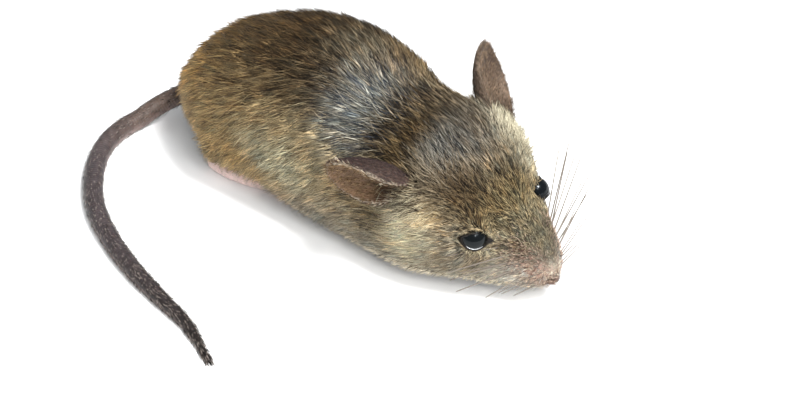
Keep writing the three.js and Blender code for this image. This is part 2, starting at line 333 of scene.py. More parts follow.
def leaf_place(held, x, s):
    """Place on an ear's leaf and its inward direction, from -1 to 1 across it and from 0 to 1 along it."""
    across, reach, opening = ear_axes(held)
    widest = held["widest"]
    tipward = s > widest
    beyond = (s - widest) / (1 - widest if tipward else widest)
    outline = max(0, 1 - beyond**2) ** held["pointed" if tipward else "pinched"]
    half_width = EAR_WIDTH / 2 * max(outline, held["rooted"] - s, EAR_BLUNT)
    wrap = np.radians(held["wrap"][0] * (1 - s) + held["wrap"][1] * s)
    radius = half_width / np.sin(min(wrap, np.pi / 2))
    angle = x * wrap
    bend = held["bow"] * s * s - EAR_ARCH * 4 * s * (1 - s) * (1.3 - 0.6 * s)
    place = np.array(held["root"]) + reach * held["length"] * s + opening * bend
    place += across * radius * np.sin(angle) + opening * radius * (1 - np.cos(angle))
    return place, opening * np.cos(angle) - across * np.sin(angle)


def ear_leaf(side):
    """The thin leaf of one ear, and a note of place, share across, share along and inward direction."""
    held = EARS[side]
    bm = bmesh.new()
    bmesh.ops.create_grid(bm, x_segments=30, y_segments=40, size=0.5)
    notes = []
    for v in bm.verts:
        x = 2 * v.co.x
        s = held["start"] + (EAR_TIP - held["start"]) * np.sin((v.co.y + 0.5) * np.pi / 2)
        place, inward = leaf_place(held, x, s)
        v.co = place * MM
        notes.append((*place * MM, x, s, *inward))
    leaf = from_bmesh(f"leaf_{side}", bm)
    wall = leaf.modifiers.new("thickness", "SOLIDIFY")
    wall.thickness = EAR_THICK * MM
    wall.offset = 0
    wall.use_even_offset = True
    apply_modifiers(leaf)
    return leaf, notes


made = [ear_leaf(side) for side in SIDES]
leaves = [leaf for leaf, _ in made]
ear_notes = np.array([note for _, notes in made for note in notes])
print("ear leaf:", [round(v / MM, 1) for v in leaves[0].dimensions], "mm")

# %% [markdown]
# ## Tail
# The tail leaves the rump a little above the floor, comes down, and then lies on it, thinning slowly and
# fast at the tip. Its middle line is a smooth curve through a few places. A curve object with a round
# bevel turns the line into a tube, which is easier to steer than a bent cylinder.

# %% Measures of the tail, in mm
TAIL_LINE = [
    (1.0, 19.5, 6.6), (0.2, 23.2, 5.6), (-1.8, 25.2, 4.4), (-4.9, 27.1, 3.0), (-10.1, 28.1, 1.5),
    (-15.8, 26.7, 1.4), (-21.5, 22.6, 1.4), (-26.0, 17.3, 1.4), (-29.2, 11.1, 1.3), (-31.7, 4.2, 1.3),
    (-33.4, -2.8, 1.1), (-34.7, -8.6, 0.9), (-37.4, -14.8, 0.6),
]
TAIL_ROOT, TAIL_TIP = 1.42, 0.36
TAIL_STEPS = 14
LYING_BELOW = 2.0
print("places along the tail:", len(TAIL_LINE))


# %% Tools for smooth lines and tubes
def smooth_line(places, steps):
    """Catmull-Rom curve through places, with a number of steps between each two."""
    places = np.array(places, float)
    padded = np.vstack([2 * places[0] - places[1], places, 2 * places[-1] - places[-2]])
    curve = []
    for k in range(len(places) - 1):
        a, b, c, d = padded[k : k + 4]
        slope, square, cube = (c - a) / 2, a - 2.5 * b + 2 * c - d / 2, (d - a) / 2 + 1.5 * (b - c)
        for f in np.arange(steps) / steps:
            curve.append(b + slope * f + square * f**2 + cube * f**3)
    return np.array(curve + [places[-1]])


def tube(name, line, radii):
    """A closed round tube along a line of points in metres."""
    curve = bpy.data.curves.new(name, "CURVE")
    curve.dimensions = "3D"
    curve.bevel_depth = 1.0
    curve.bevel_resolution = 3
    curve.use_fill_caps = True
    spline = curve.splines.new("POLY")
    spline.points.add(len(line) - 1)
    for point, place, radius in zip(spline.points, line, radii):
        point.co = (*place, 1)
        point.radius = radius
    guide = new_object(name, curve)
    graph = bpy.context.evaluated_depsgraph_get()
    mesh = bpy.data.meshes.new_from_object(guide.evaluated_get(graph))
    bpy.data.objects.remove(guide)
    return new_object(name, mesh)


# %% Make the tail
tail_points = smooth_line(TAIL_LINE, TAIL_STEPS)
tail_run = np.concatenate([[0], np.cumsum(np.linalg.norm(np.diff(tail_points, axis=0), axis=1))])
tail_radii = TAIL_TIP + (TAIL_ROOT - TAIL_TIP) * (1 - (tail_run / tail_run[-1]) ** 4) ** 0.8
above = tail_points[:, 2] - LYING_BELOW
tail_points[:, 2] = tail_radii - 0.02 + np.maximum(0, above) / (1 + np.exp(-6 * above))
tail = tube("tail", tail_points * MM, tail_radii * MM)
print("tail length:", round(tail_run[-1], 1), "mm")

# %% [markdown]
# ## One skin
# Feet, nose, ears, tail and body are joined, with a short shank from each foot up into the body, and
# fused into a single skin with finer cubes. Then the skin is ironed a little, and the front of the head,
# which needs lids and nostrils, has its faces split once more.

# %% Fuse everything into one skin
SKIN_VOXEL = 0.32 * MM
NOSE_END = -40.0 * MM
SHANKS = {
    "hind": {"from": (7.4, 12.4, 1.5), "to": (8.0, 10.0, 6.5), "radii": (1.1, 2.2)},
    "fore": {"from": (4.3, -19.2, 1.1), "to": (6.0, -16.0, 4.6), "radii": (1.0, 2.4)},
}


def shank(name, side):
    """A short limb from heel or wrist up into the body."""
    limb = SHANKS[name]
    mirrored = [np.array(limb[end]) * [side, 1, 1] for end in ("from", "to")]
    line = smooth_line(mirrored, 6) * MM
    return tube(f"{name}_shank", line, np.linspace(*limb["radii"], len(line)) * MM)


def join(name, pieces):
    """Joins objects into one mesh."""
    bm = bmesh.new()
    for piece in pieces:
        bm.from_mesh(piece.data)
        bpy.data.objects.remove(piece)
    return from_bmesh(name, bm)


BARE = ["nose"] + [f"{part}_{side}" for part in ("hind_foot", "forefoot") for side in SIDES]
bare = joined_copy("bare", BARE)
shanks = [shank(name, side) for name in SHANKS for side in SIDES.values()]
bare_points = points_of(bare.data)
clouds = {
    "body": points_of(body.data),
    "nose": bare_points[bare_points[:, 1] < NOSE_END],
    "foot": bare_points[bare_points[:, 1] > NOSE_END],
    "ear": ear_notes[:, :3],
    "tail": points_of(tail.data),
}
skin = join("skin", [body, bare, tail, *leaves, *shanks])
fuse(skin, SKIN_VOXEL)
smooth(skin.data, 3)
print("skin:", len(skin.data.polygons), "faces")

# %% Split the faces of the face
FACE_START = -29.5 * MM


def split_faces(mesh, chosen):
    """Splits every edge of the faces whose middle passes a test."""
    bm = bmesh.new()
    bm.from_mesh(mesh)
    edges = {edge for face in bm.faces if chosen(face.calc_center_median()) for edge in face.edges}
    bmesh.ops.subdivide_edges(bm, edges=list(edges), cuts=1, use_grid_fill=True)
    bmesh.ops.triangulate(bm, faces=[face for face in bm.faces if len(face.verts) > 4])
    bm.to_mesh(mesh)
    bm.free()


split_faces(skin.data, lambda middle: middle.y < FACE_START)
smooth(skin.data, 4, rise(points_of(skin.data)[:, 1], FACE_START + 2 * MM, FACE_START))
print("skin with a finer face:", len(skin.data.polygons), "faces")

# %% [markdown]
# ## The face
# The eyes of a mouse are round beads that stand out of the head, held by thin dark lids that meet in a
# point in front. Each socket is made by moving the skin's points towards or away from the middle of the
# eyeball: inside the opening they drop behind the ball, at its edge they close on the ball as a thin lid,
# and further out they keep their place. Cutting a hole would do too, but this keeps the skin closed.

# %% Measures of the eyes and lids, in mm
EYE = {"at": (6.5, -32.9, 10.6), "radius": 1.8}
# Half-widths of the opening in mm each way from the middle, the lid's gap over the ball, and how pointed
# the opening's corners are: 2 makes an oval, 1 a lozenge.
LID = {"front": 1.72, "back": 1.5, "over": 1.02, "under": 1.0, "gap": 0.1, "corner": 1.5}
LID_RIM = 0.1
SOCKET_DEPTH = 0.55
# How far up each opening is turned, and where round the ball its pull on the skin fades out.
TURNED_UP = {"left": 0.3, "right": 0.0}
FADES = {"left": (-0.85, -0.3), "right": (-0.3, 0.15)}


print("opening:", LID["front"] + LID["back"], "mm long,", LID["over"] + LID["under"], "mm high")


# %% Close the lids on the eyeballs
def eye_axes(side, points, normals):
    """Middle of an eyeball, and its outward, forward and upward directions, from the skin round it."""
    middle = np.array(EYE["at"]) * [SIDES[side], 1, 1] * MM
    near = np.linalg.norm(points - middle, axis=1) < 3.2 * MM
    out = unit(normals[near].mean(axis=0))
    front = np.array([0, -1.0, 0.08])
    front = unit(front - out * (front @ out))
    up = np.cross(out, front) * SIDES[side]
    up *= np.sign(up[2])
    turned = unit(out + up * TURNED_UP[side])
    return middle, turned, front, unit(up - out * TURNED_UP[side])


def opening_share(across, height):
    """Place in the opening between the lids: under 1 inside, 1 on the lid's edge. Given in millimetres."""
    width = np.where(across > 0, LID["front"], LID["back"])
    tall = np.where(height > 0, LID["over"], LID["under"])
    power = LID["corner"]
    return (np.abs(across / width) ** power + np.abs(height / tall) ** power) ** (1 / power)


def socket(points, side):
    """Moves the points round one eye."""
    middle, out, front, up = eye_placing[side]
    away = points - middle
    distance = np.linalg.norm(away, axis=1)
    ray = away / distance[:, None]
    radius = EYE["radius"]
    share = opening_share(ray @ front * radius, ray @ up * radius) + 3 * rise(ray @ out, 0.3, -0.1)
    lid = radius + LID["gap"] + LID_RIM * np.exp(-(((share - 1.22) / 0.12) ** 2))
    behind = radius - SOCKET_DEPTH
    held = lid + (behind - lid) * rise(share, 1.02, 0.94)
    pulled = (1 - rise(share, 1.12, 1.75)) * rise(ray @ out, *FADES[side])
    target_distance = held * pulled * MM + distance * (1 - pulled)
    facing = (ray @ out > FADES[side][0]) & (distance < 5 * MM)
    moved = middle + ray * target_distance[:, None]
    return np.where(facing[:, None], moved, points), np.where(facing, share, 9.0)


eye_share = np.full(len(skin.data.vertices), 9.0)
eye_placing = {side: eye_axes(side, points_of(skin.data), normals_of(skin.data)) for side in SIDES}
for side in SIDES:
    shaped, share = socket(points_of(skin.data), side)
    set_points(skin.data, shaped)
    eye_share = np.minimum(eye_share, share)
print("points in the lids:", int(((eye_share > 0.9) & (eye_share < 1.4)).sum()))

# %% [markdown]
# ## The corners of the eyes
# In front the lids run out into a narrow dark corner, bare of hair and wet with tears. It is not cut into
# the skin: a share from 0 to 1 marks it, and the coat and the skin's colour both ask for that share.

# %% Front corners of the eyes
CORNER = {"from": 1.4, "to": {"left": 1.7, "right": 3.0}, "wide": {"left": 0.4, "right": 0.6}}


def corner_share(points, side):
    """How far each point lies in the dark corner that runs forward from the lids, from 0 to 1."""
    middle, out, front, up = eye_placing[side]
    away = (points - middle) / MM
    ahead, high = away @ front, away @ up
    end = CORNER["to"][side]
    half = CORNER["wide"][side] * rise(ahead, end, CORNER["from"]) + 0.02
    inside = (ahead > CORNER["from"]) & (ahead < end) & (away @ out > 0)
    return np.where(inside, rise(np.abs(high + 0.1), half + 0.1, half), 0.0)


eye_corner = np.maximum(*[corner_share(points_of(skin.data), side) for side in SIDES])
corner_gap = np.full(len(skin.data.vertices), 9.0)
for side in SIDES:
    middle, out, front, up = eye_placing[side]
    line = [middle / MM + front * CORNER["from"], middle / MM + front * CORNER["to"][side]]
    corner_gap = np.minimum(corner_gap, distance_to_line(points_of(skin.data) / MM, line))
print("points in the corners:", int((eye_corner > 0.5).sum()))

# %% [markdown]
# ## Nostrils, lips and mouth
# These are soft folds, not cuts. Each one is a short line that the skin's points near it sink under, most
# at the line and less away from it. A wide shallow one lies in front of each eye, where the cheek falls
# in.

# %% Press in the hollows of the face
HOLLOWS = {
    "nostril": {"line": [(0.62, -41.75, 4.25), (0.98, -41.35, 4.45)], "reach": 0.24, "in": 0.5},
    "before the eye": {"line": [(3.0, -35.6, 13.0), (4.9, -34.3, 12.4)], "reach": 1.5, "in": 0.95},
    "parting": {"line": [(0.0, -41.9, 3.9), (0.0, -41.2, 3.0)], "reach": 0.22, "in": 0.3},
    "mouth": {
        "line": [(0.0, -40.6, 2.75), (1.6, -39.0, 2.9), (3.0, -36.6, 3.4)],
        "reach": 0.28,
        "in": 0.42,
    },
}


def press(mesh, name):
    """Presses one hollow into both sides of the face."""
    hollow = HOLLOWS[name]
    points = points_of(mesh)
    near = np.exp(-((distance_to_line(folded(points), hollow["line"]) / hollow["reach"]) ** 2))
    set_points(mesh, points - normals_of(mesh) * (near * hollow["in"] * MM)[:, None])


for name in HOLLOWS:
    press(skin.data, name)
skin.data.shade_smooth()
print("face shaped")

# %% [markdown]
# ## Which part of the skin is which
# After the fusing, the skin no longer knows what it was made of. Points kept from each part before the
# fusing tell it: every point of the skin asks for the nearest of them and takes its name. The shares are
# then averaged over neighbouring points, so that fur thins out softly towards bare skin.

# %% Name the skin's parts
PARTS = ["body", "nose", "foot", "ear", "tail"]


def neighbour_mean(mesh, values, times):
    """Averages values over neighbouring points a few times."""
    ends = np.empty(len(mesh.edges) * 2, np.int32)
    mesh.edges.foreach_get("vertices", ends)
    a, b = ends.reshape(-1, 2).T
    count = len(mesh.vertices)
    neighbours = np.bincount(np.concatenate([a, b]), minlength=count)
    for _ in range(times):
        total = np.bincount(a, values[b], count) + np.bincount(b, values[a], count)
        values = 0.5 * values + 0.5 * total / neighbours
    return values


skin_points = points_of(skin.data)
kept_places = np.concatenate(list(clouds.values()))
kept_parts = np.concatenate([np.full(len(cloud), PARTS.index(part)) for part, cloud in clouds.items()])
nearest_kept = nearest(tree_of(kept_places), skin_points)
part_of_point = kept_parts[nearest_kept]
part_share = {
    part: neighbour_mean(skin.data, (part_of_point == index).astype(float), 3)
    for index, part in enumerate(PARTS)
}
print({part: int((part_of_point == index).sum()) for index, part in enumerate(PARTS)})

# %% Places on the ears and along the tail
skin_normals = normals_of(skin.data)
on_ear = part_of_point == PARTS.index("ear")
first_of_ear = np.flatnonzero(kept_parts == PARTS.index("ear"))[0]
note = ear_notes[np.clip(nearest_kept - first_of_ear, 0, len(ear_notes) - 1)]
ear_across = np.where(on_ear, note[:, 3], 0)
ear_along = np.where(on_ear, note[:, 4], 0)
ear_inside = np.where(on_ear, rise((note[:, 5:8] * skin_normals).sum(axis=1), -0.4, 0.4), 0)
on_tail = part_of_point == PARTS.index("tail")
tail_index = np.zeros(len(skin_points), int)
tail_index[on_tail] = nearest(tree_of(tail_points * MM), skin_points[on_tail])
tail_tangents = unit(np.gradient(tail_points, axis=0))
along_tail = ((skin_points / MM - tail_points[tail_index]) * tail_tangents[tail_index]).sum(axis=1)
run = np.where(on_tail, tail_run[tail_index] + along_tail, 0)
skin.data.attributes.new("run", "FLOAT", "POINT").data.foreach_set("value", run.astype(np.float32))
print("ear points inside the cups:", int((ear_inside > 0.5).sum()), "tail run:", run.max().round(1))

# %% [markdown]
# ## Markings
# Each hair of a wild mouse is slate at the root, then sandy, with a dark tip, and long dark hairs stand
# among them. So a patch of the coat is described by the sandy colour, the dark colour and how many of the
# hairs are dark. Soft-edged patches are laid over one another: a dark back, paler flanks, a cream
# underside and a blue-grey place on the forehead. The blue-grey place on the near shoulder is painted
# sheen, the pale patch on the far temple is painted backlight, and the patch behind the ear is dark fur
# with painted shade.

# %% Markings
def linear(code):
    """A hex sRGB colour as linear red, green and blue."""
    channels = np.array([int(code[i : i + 2], 16) for i in (1, 3, 5)]) / 255
    return np.where(channels <= 0.04045, channels / 12.92, ((channels + 0.055) / 1.055) ** 2.4)


# Middle of each patch in mm, how far it reaches each way, its strength, the pale and the dark colour of
# its hairs, and the share of dark ones. X is the distance from the midline, but for the patches on one
# side only.
ONE_SIDED = ["forehead", "temple", "nape", "shoulder"]
PATCHES = {
    "flank": ((0, 0, 0), (1e3, 1e3, 1e3), 0.6, "#bca477", "#483b2b", 0.28),
    "back": ((0, 4, 30), (13, 22, 8.5), 3.0, "#694c2c", "#191007", 0.5),
    "rump": ((0, 22, 14), (14, 9, 12), 0.8, "#cf9a44", "#443411", 0.36),
    # Painted sheen: this blue-grey patch on the near shoulder stands in for light glancing off the fur.
    "shoulder": ((-5.5, -12.0, 21.5), (5.6, 3.9, 6.0), 5.0, "#abafa6", "#404d5c", 0.42),
    "nape": ((-5.2, -17.4, 20.3), (5.2, 3.2, 5.2), 9.0, "#735a31", "#1c1307", 0.55),
    "crown": ((0, -27, 21), (9, 8, 6), 3.0, "#8a8479", "#201f20", 0.5),
    "forehead": ((-3.2, -24.4, 21.0), (3.0, 1.9, 2.6), 6.0, "#8b8d87", "#242a32", 0.42),
    "saddle": ((6.5, -3.5, 24.5), (6, 4.5, 4), 2.5, "#625744", "#1a1514", 0.5),
    "ribs": ((12.0, -6.5, 14.5), (4, 5.5, 3.6), 2.5, "#c4b189", "#484136", 0.25),
    "brow": ((0, -32.5, 15.5), (7.5, 4.5, 3.5), 4.0, "#7f6b3f", "#1b1409", 0.52),
    # Painted backlight: this pale patch lies on the far side only and gives the bright rim of fur against the
    # light.
    "temple": ((7.5, -28.0, 16.8), (2.5, 4.0, 2.8), 22.0, "#e2dabc", "#9a9178", 0.18),
    "muzzle": ((0, -38, 12), (5, 5, 4.5), 3.0, "#8f8870", "#393931", 0.35),
    "whisker pad": ((2.6, -39.2, 7.2), (2.6, 3.0, 2.8), 4.0, "#0c0503", "#010000", 0.42),
    "cheek": ((10.5, -28, 9), (5, 8, 5), 2.5, "#9e9582", "#3b3a35", 0.22),
    "throat": ((12.0, -24.0, 9.0), (4.0, 3.4, 3.6), 4.0, "#fdf6ce", "#efd6b6", 0.14),
    "haunch": ((12.0, 8.0, 4.5), (5, 8, 4), 5.0, "#bc995a", "#564625", 0.26),
    "under": ((0, 0, -2), (1e3, 1e3, 6.5), 4.5, "#aba493", "#63605c", 0.16),
    "lip": ((3.0, -38.4, 3.7), (3.4, 3.2, 2.4), 22.0, "#f4ecda", "#c8bda4", 0.15),
    "loin": ((0, -6.0, 27.5), (4.0, 3.6, 3.5), 3.0, "#aea890", "#3f372c", 0.4),
    "eyebrow": ((5.8, -30.0, 16.5), (2.5, 3.0, 2.6), 6.0, "#3c230a", "#0a0401", 0.5),
    "snout": ((2.9, -38.5, 9.2), (1.6, 1.6, 1.6), 4.0, "#6e6a58", "#261f1b", 0.45),
    # Behind the ear: partly dark fur, partly painted shade that the ear casts on the neck.
    "dark fur and shade behind the ear": ((11.8, -18.5, 9.8), (1.6, 2.2, 2.2), 3.0, "#816d49", "#2e2416", 0.4),
    "low flank": ((12.5, -2.5, 10.5), (3.0, 4.0, 2.8), 4.0, "#d1cfb0", "#6f6954", 0.2),
    "tuft": ((10.9, -26.9, 13.2), (1.2, 1.2, 1.3), 24.0, "#f6e2b8", "#c4a878", 0.16),
}


def markings(points):
    """Pale colour, dark colour and share of dark hairs at each point."""
    pale, dark = np.zeros((len(points), 3)), np.zeros((len(points), 3))
    share, total = np.zeros(len(points)), np.zeros(len(points))
    for name, (middle, reach, strength, pale_code, dark_code, dark_share) in PATCHES.items():
        places = points / MM if name in ONE_SIDED else folded(points)
        weight = strength * np.exp(-(((places - middle) / reach) ** 2).sum(axis=1))
        pale += weight[:, None] * linear(pale_code)
        dark += weight[:, None] * linear(dark_code)
        share += weight * dark_share
        total += weight
    return pale / total[:, None], dark / total[:, None], share / total


print("patches:", len(PATCHES))

# %% [markdown]
# ## Colours of bare skin
# Nose, feet, ears and tail are thin skin over blood and cartilage: pink where it is pale, brown-grey
# where it is pigmented. The tail is lighter underneath and darkest at its end. The ears' cups are dark
# partly in their skin and partly by painted shade in the deep hollow and under the rim, and the left ear
# carries painted light and shade. Under the coat the skin takes a mix of its hairs' two colours, halved
# as slate underfur and as painted shade, so that no bare gap shows between the tufts.

# %% Colours of bare skin
BARE_COLOURS = {"nose": "#5d4a41", "foot": "#e0c6bf", "ear": "#41342e", "tail": "#3f3839"}
# Under the coat the skin's colour is halved: partly the slate underfur, partly painted shade in the gaps
# between tufts.
UNDER_COAT_SHADE = 0.5
# The hollow colour is painted shade deep in the cup, with partly darker skin near the root.
EAR_CUP, EAR_HOLLOW_SHADE, EAR_RIM = "#6b5340", "#1a0e0c", "#8f8271"
# Painted light and shade on the left ear only: its lit cup and shaded back are evened to one brown, darker
# towards the tip.
LEFT_EAR_LIGHT_AND_SHADE, LEFT_EAR_TIP_SHADE = "#655547", "#3a2f28"
TAIL_START, TAIL_END, TAIL_SIDE = "#53463f", "#1e1a18", "#7c6c67"
TAIL_FADES = {"start": (28, 8), "end": (40, 72)}  # between these runs along the tail, in mm
LID_COLOUR = "#15110f"
PAD_COLOUR = "#8f6f62"
PAD = [(2.2, -40.8, 5.0), (3.8, -37.4, 8.6)]
PAD_REACH = 1.9
print("bare parts:", list(BARE_COLOURS))

# %% Roots of the whiskers
# They stand in rows on the pad, and each makes a dark dot in the skin.
PAD_BACK, PAD_FRONT = np.array([4.3, -37.2, 8.6]), np.array([2.1, -40.6, 4.9])
ROW_STEP = np.array([-0.42, 0.0, 1.15])
FOLLICLE_ROWS = (-1, -0.35, 0.3, 1)
FOLLICLES_IN_ROW = 7
FOLLICLE_SIZE = 0.22
# The follicles' dark dots are their own colour. The same colour paints shade into the nostrils and the lip's
# parting.
FOLLICLE_AND_CREASE_SHADE_COLOUR = "#1d1512"
FOLLICLES = np.array([
    PAD_BACK * (1 - k / (FOLLICLES_IN_ROW - 1)) + PAD_FRONT * k / (FOLLICLES_IN_ROW - 1) + ROW_STEP * row
    for row in FOLLICLE_ROWS
    for k in range(FOLLICLES_IN_ROW)
])
print("follicles on each side:", len(FOLLICLES))


# %% Colour the skin
def nearest_gap(points, places):
    """Square of the distance from each point to the nearest of a few places."""
    return np.min([((points - place) ** 2).sum(axis=1) for place in places], axis=0)


def toward(colour, code, amount):
    """Colours moved towards a hex colour by an amount for each row."""
    return colour + (linear(code) - colour) * amount[:, None]


def around_line(points, line, reach):
    """How close each point is to a line on either side of the body, from 0 to 1."""
    return np.exp(-((distance_to_line(folded(points), line) / reach) ** 2))


def ear_tint(tint, points):
    """Lays the ears' colours over a tint: the cup, painted shade deep in it and under its rim, the rim, and
    painted light and shade on the left ear.
    """
    tint = toward(tint, EAR_CUP, ear_inside)
    # Painted shade of the deep cup: under the middle of the rim and towards the root, where the skin is
    # partly darker too.
    shade_under_rim = np.exp(-(((ear_across + 0.3) / 0.5) ** 2)) * np.exp(-(((ear_along - 0.42) / 0.2) ** 2))
    hollow = np.maximum(rise(ear_along, 0.35, 0.15), shade_under_rim) * ear_inside
    tint = toward(tint, EAR_HOLLOW_SHADE, hollow)
    edge = np.maximum(rise(np.abs(ear_across), 0.95, 1.0), rise(ear_along, 0.97, 1.0))
    tint = toward(tint, EAR_RIM, edge * part_share["ear"])
    # Painted light and shade: the left ear is evened to one brown, darker towards its tip.
    painted_on_left_ear = (points[:, 0] > 0) * part_share["ear"]
    tint = toward(tint, LEFT_EAR_LIGHT_AND_SHADE, 0.85 * painted_on_left_ear)
    return toward(tint, LEFT_EAR_TIP_SHADE, rise(ear_along, 0.45, 0.9) * painted_on_left_ear)


def tail_tint(tint):
    """Lays the tail's colours over a tint: both ends and the paler underside."""
    tint = toward(tint, TAIL_START, rise(run, *TAIL_FADES["start"]) * part_share["tail"])
    tint = toward(tint, TAIL_END, rise(run, *TAIL_FADES["end"]) * part_share["tail"])
    return toward(tint, TAIL_SIDE, rise(skin_normals[:, 2], 0.3, -0.5) * part_share["tail"])


def skin_tint(points):
    """Colour of the skin: under the coat a mix of its hairs, halved as slate underfur and painted shade,
    elsewhere that of the bare part.
    """
    pale, dark, share = markings(points)
    shaded_under_coat = (pale * (1 - share)[:, None] + dark * share[:, None]) * UNDER_COAT_SHADE
    on_pad = around_line(points, PAD, PAD_REACH)
    tint = toward(shaded_under_coat, PAD_COLOUR, on_pad) * part_share["body"][:, None]
    for part, code in BARE_COLOURS.items():
        tint += linear(code) * part_share[part][:, None]
    tint = tail_tint(ear_tint(tint, points))
    tint = toward(tint, LID_COLOUR, eye_corner)
    follicles = np.exp(-((np.sqrt(nearest_gap(folded(points), FOLLICLES)) / FOLLICLE_SIZE) ** 2))
    tint = toward(tint, FOLLICLE_AND_CREASE_SHADE_COLOUR, 0.85 * follicles)
    # Painted shade in the nostrils and the parting of the lip.
    crease_shade = [around_line(points, HOLLOWS[name]["line"], 0.3) for name in ("parting", "nostril")]
    tint = toward(tint, FOLLICLE_AND_CREASE_SHADE_COLOUR, np.maximum(*crease_shade))
    return toward(tint, LID_COLOUR, rise(eye_share, 1.38, 1.22))


tint = skin_tint(skin_points)
colours = skin.data.attributes.new("tint", "FLOAT_COLOR", "POINT")
colours.data.foreach_set("color", np.column_stack([tint, np.ones(len(tint))]).astype(np.float32).ravel())
print("mean skin colour:", tint.mean(axis=0).round(3))

# %% [markdown]
# ## Materials
# One function adds a node with its settings and its links, and every material is built with it. Skin is a
# soft matt leather that lets a little light through; hair is keratin, a clear horn with a dull gloss; the
# eye is wet.

# %% Tools for materials
def add(tree, kind, inputs, **settings):
    """Adds a node. Each input is a value, or the output of another node as (node, output)."""
    made = tree.nodes.new(kind)
    for key, value in settings.items():
        setattr(made, key, value)
    for key, value in inputs.items():
        if isinstance(value, tuple) and isinstance(value[0], bpy.types.Node):
            tree.links.new(value[0].outputs[value[1]], made.inputs[key])
        else:
            made.inputs[key].default_value = value
    return made


def material(name, inputs):
    """A Principled material and its node tree, its shader ready for links."""
    made = bpy.data.materials.new(name)
    made.use_nodes = True
    shader = made.node_tree.nodes["Principled BSDF"]
    for key, value in inputs.items():
        shader.inputs[key].default_value = value
    return made, made.node_tree, shader


def opaque(code):
    """A hex colour as linear red, green, blue and alpha."""
    return (*linear(code), 1.0)


# %% Skin and hair
# Millimetres between two scaly rings of a tail, a little coarser than life so that they show.
RING = 0.45
# Brightness of a hair from root to tip: slaty, then the pale band, then a slightly dimmer tip.
BANDS = [(0.02, 0.25), (0.3, 0.4), (0.55, 0.9), (0.85, 1.05), (0.98, 0.85)]


def skin_material():
    """Thin mouse skin: its tint from the mesh, fine mottling and wrinkles, and rings round the tail."""
    inputs = {"Roughness": 0.5, "IOR": 1.4, "Specular IOR Level": 0.3}
    inputs.update({"Subsurface Weight": 0.08, "Subsurface Scale": 0.4 * MM})
    made, tree, shader = material("mouse skin", inputs)
    place = (add(tree, "ShaderNodeTexCoord", {}), "Object")
    tinted = add(tree, "ShaderNodeAttribute", {}, attribute_name="tint")
    mottle = add(tree, "ShaderNodeTexNoise", {"Vector": place, "Scale": 900.0, "Detail": 4.0})
    spread = {"From Min": 0.3, "From Max": 0.7, "To Min": 0.75, "To Max": 1.25}
    value = add(tree, "ShaderNodeMapRange", {"Value": (mottle, "Fac"), **spread})
    mottled = {0: (tinted, "Color"), "Scale": (value, "Result")}
    scaled = add(tree, "ShaderNodeVectorMath", mottled, operation="SCALE")
    tree.links.new(scaled.outputs["Vector"], shader.inputs["Base Color"])
    wrinkles = add(tree, "ShaderNodeTexNoise", {"Vector": place, "Scale": 2600.0, "Detail": 3.0})
    run_along = add(tree, "ShaderNodeAttribute", {}, attribute_name="run")
    per_ring = {0: (run_along, "Fac"), 1: 2 * np.pi / RING}
    turns = add(tree, "ShaderNodeMath", per_ring, operation="MULTIPLY")
    rings = add(tree, "ShaderNodeMath", {0: (turns, "Value")}, operation="SINE")
    ringed = {0: (rings, "Value"), 1: 0.35, 2: (wrinkles, "Fac")}
    relief = add(tree, "ShaderNodeMath", ringed, operation="MULTIPLY_ADD")
    raised = {"Height": (relief, "Value"), "Strength": 0.5, "Distance": 0.08 * MM}
    bump = add(tree, "ShaderNodeBump", raised)
    tree.links.new(bump.outputs["Normal"], shader.inputs["Normal"])
    return made


def hair_material():
    """Agouti hair: the tuft's tint, dark at the root, brightest past the middle, dimmer at the tip."""
    inputs = {"Roughness": 0.6, "IOR": 1.5, "Specular IOR Level": 0.15}
    made, tree, shader = material("agouti hair", inputs)
    tinted = add(tree, "ShaderNodeAttribute", {}, attribute_name="tint")
    along = add(tree, "ShaderNodeAttribute", {}, attribute_name="along")
    band = add(tree, "ShaderNodeValToRGB", {"Fac": (along, "Fac")})
    stops = band.color_ramp.elements
    for place, level in BANDS:
        stop = stops.new(place)
        stop.color = (level, level, level * 1.02, 1)
    stops.remove(stops[0])
    stops.remove(stops[-1])
    both = {0: (tinted, "Color"), 1: (band, "Color")}
    banded = add(tree, "ShaderNodeVectorMath", both, operation="MULTIPLY")
    tree.links.new(banded.outputs["Vector"], shader.inputs["Base Color"])
    return made


SKIN = skin_material()
HAIR = hair_material()
skin.data.materials.clear()
skin.data.materials.append(SKIN)


# %% Put the skin on the body and hide the solids it stands for
def finish(piece, slot, *nodes):
    """Puts a finished piece on the mouse's one rigid body and hides the CAD nodes it stands for. The slot is
    not used.
    """
    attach(piece, "root")
    if nodes:
        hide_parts(*nodes)


finish(skin, "coat", *[node for node in frame["nodes"] if not node.startswith("eye")])
print("materials:", SKIN.name, "and", HAIR.name)

# %% [markdown]
# ## Eyes
# The eye of a mouse is almost all lens and pupil, so it looks like a bead of black glass. It could be built
# in layers, cornea over iris, but at this size a smooth ball with a wet gloss looks the same, and the floor
# and the lamps draw its shine. A fine thread of tears lies along the lower lid. It shines by its gloss and
# by a near-white colour, which is a painted reflection of the floor.

# %% Eyes
def eye_material():
    """A black eye under a wet cornea, which mirrors the floor and the lamps only faintly."""
    inputs = {"Base Color": opaque("#06080a"), "Roughness": 0.25, "IOR": 1.376, "Specular IOR Level": 0.14}
    inputs.update({"Coat Weight": 0.42, "Coat Roughness": 0.03, "Coat IOR": 1.336})
    made, _, shader = material("wet eye", inputs)
    shader.inputs["Specular Tint"].default_value = (0.8, 0.94, 1.0, 1.0)
    return made


def tear_glint_material():
    """A thread of tears: clear glossy water, whose near-white colour paints the floor's bright reflection
    along the lid.
    """
    inputs = {"Base Color": opaque("#f2f4f6"), "Roughness": 0.05, "IOR": 1.333, "Transmission Weight": 0.6}
    return material("tears", inputs)[0]


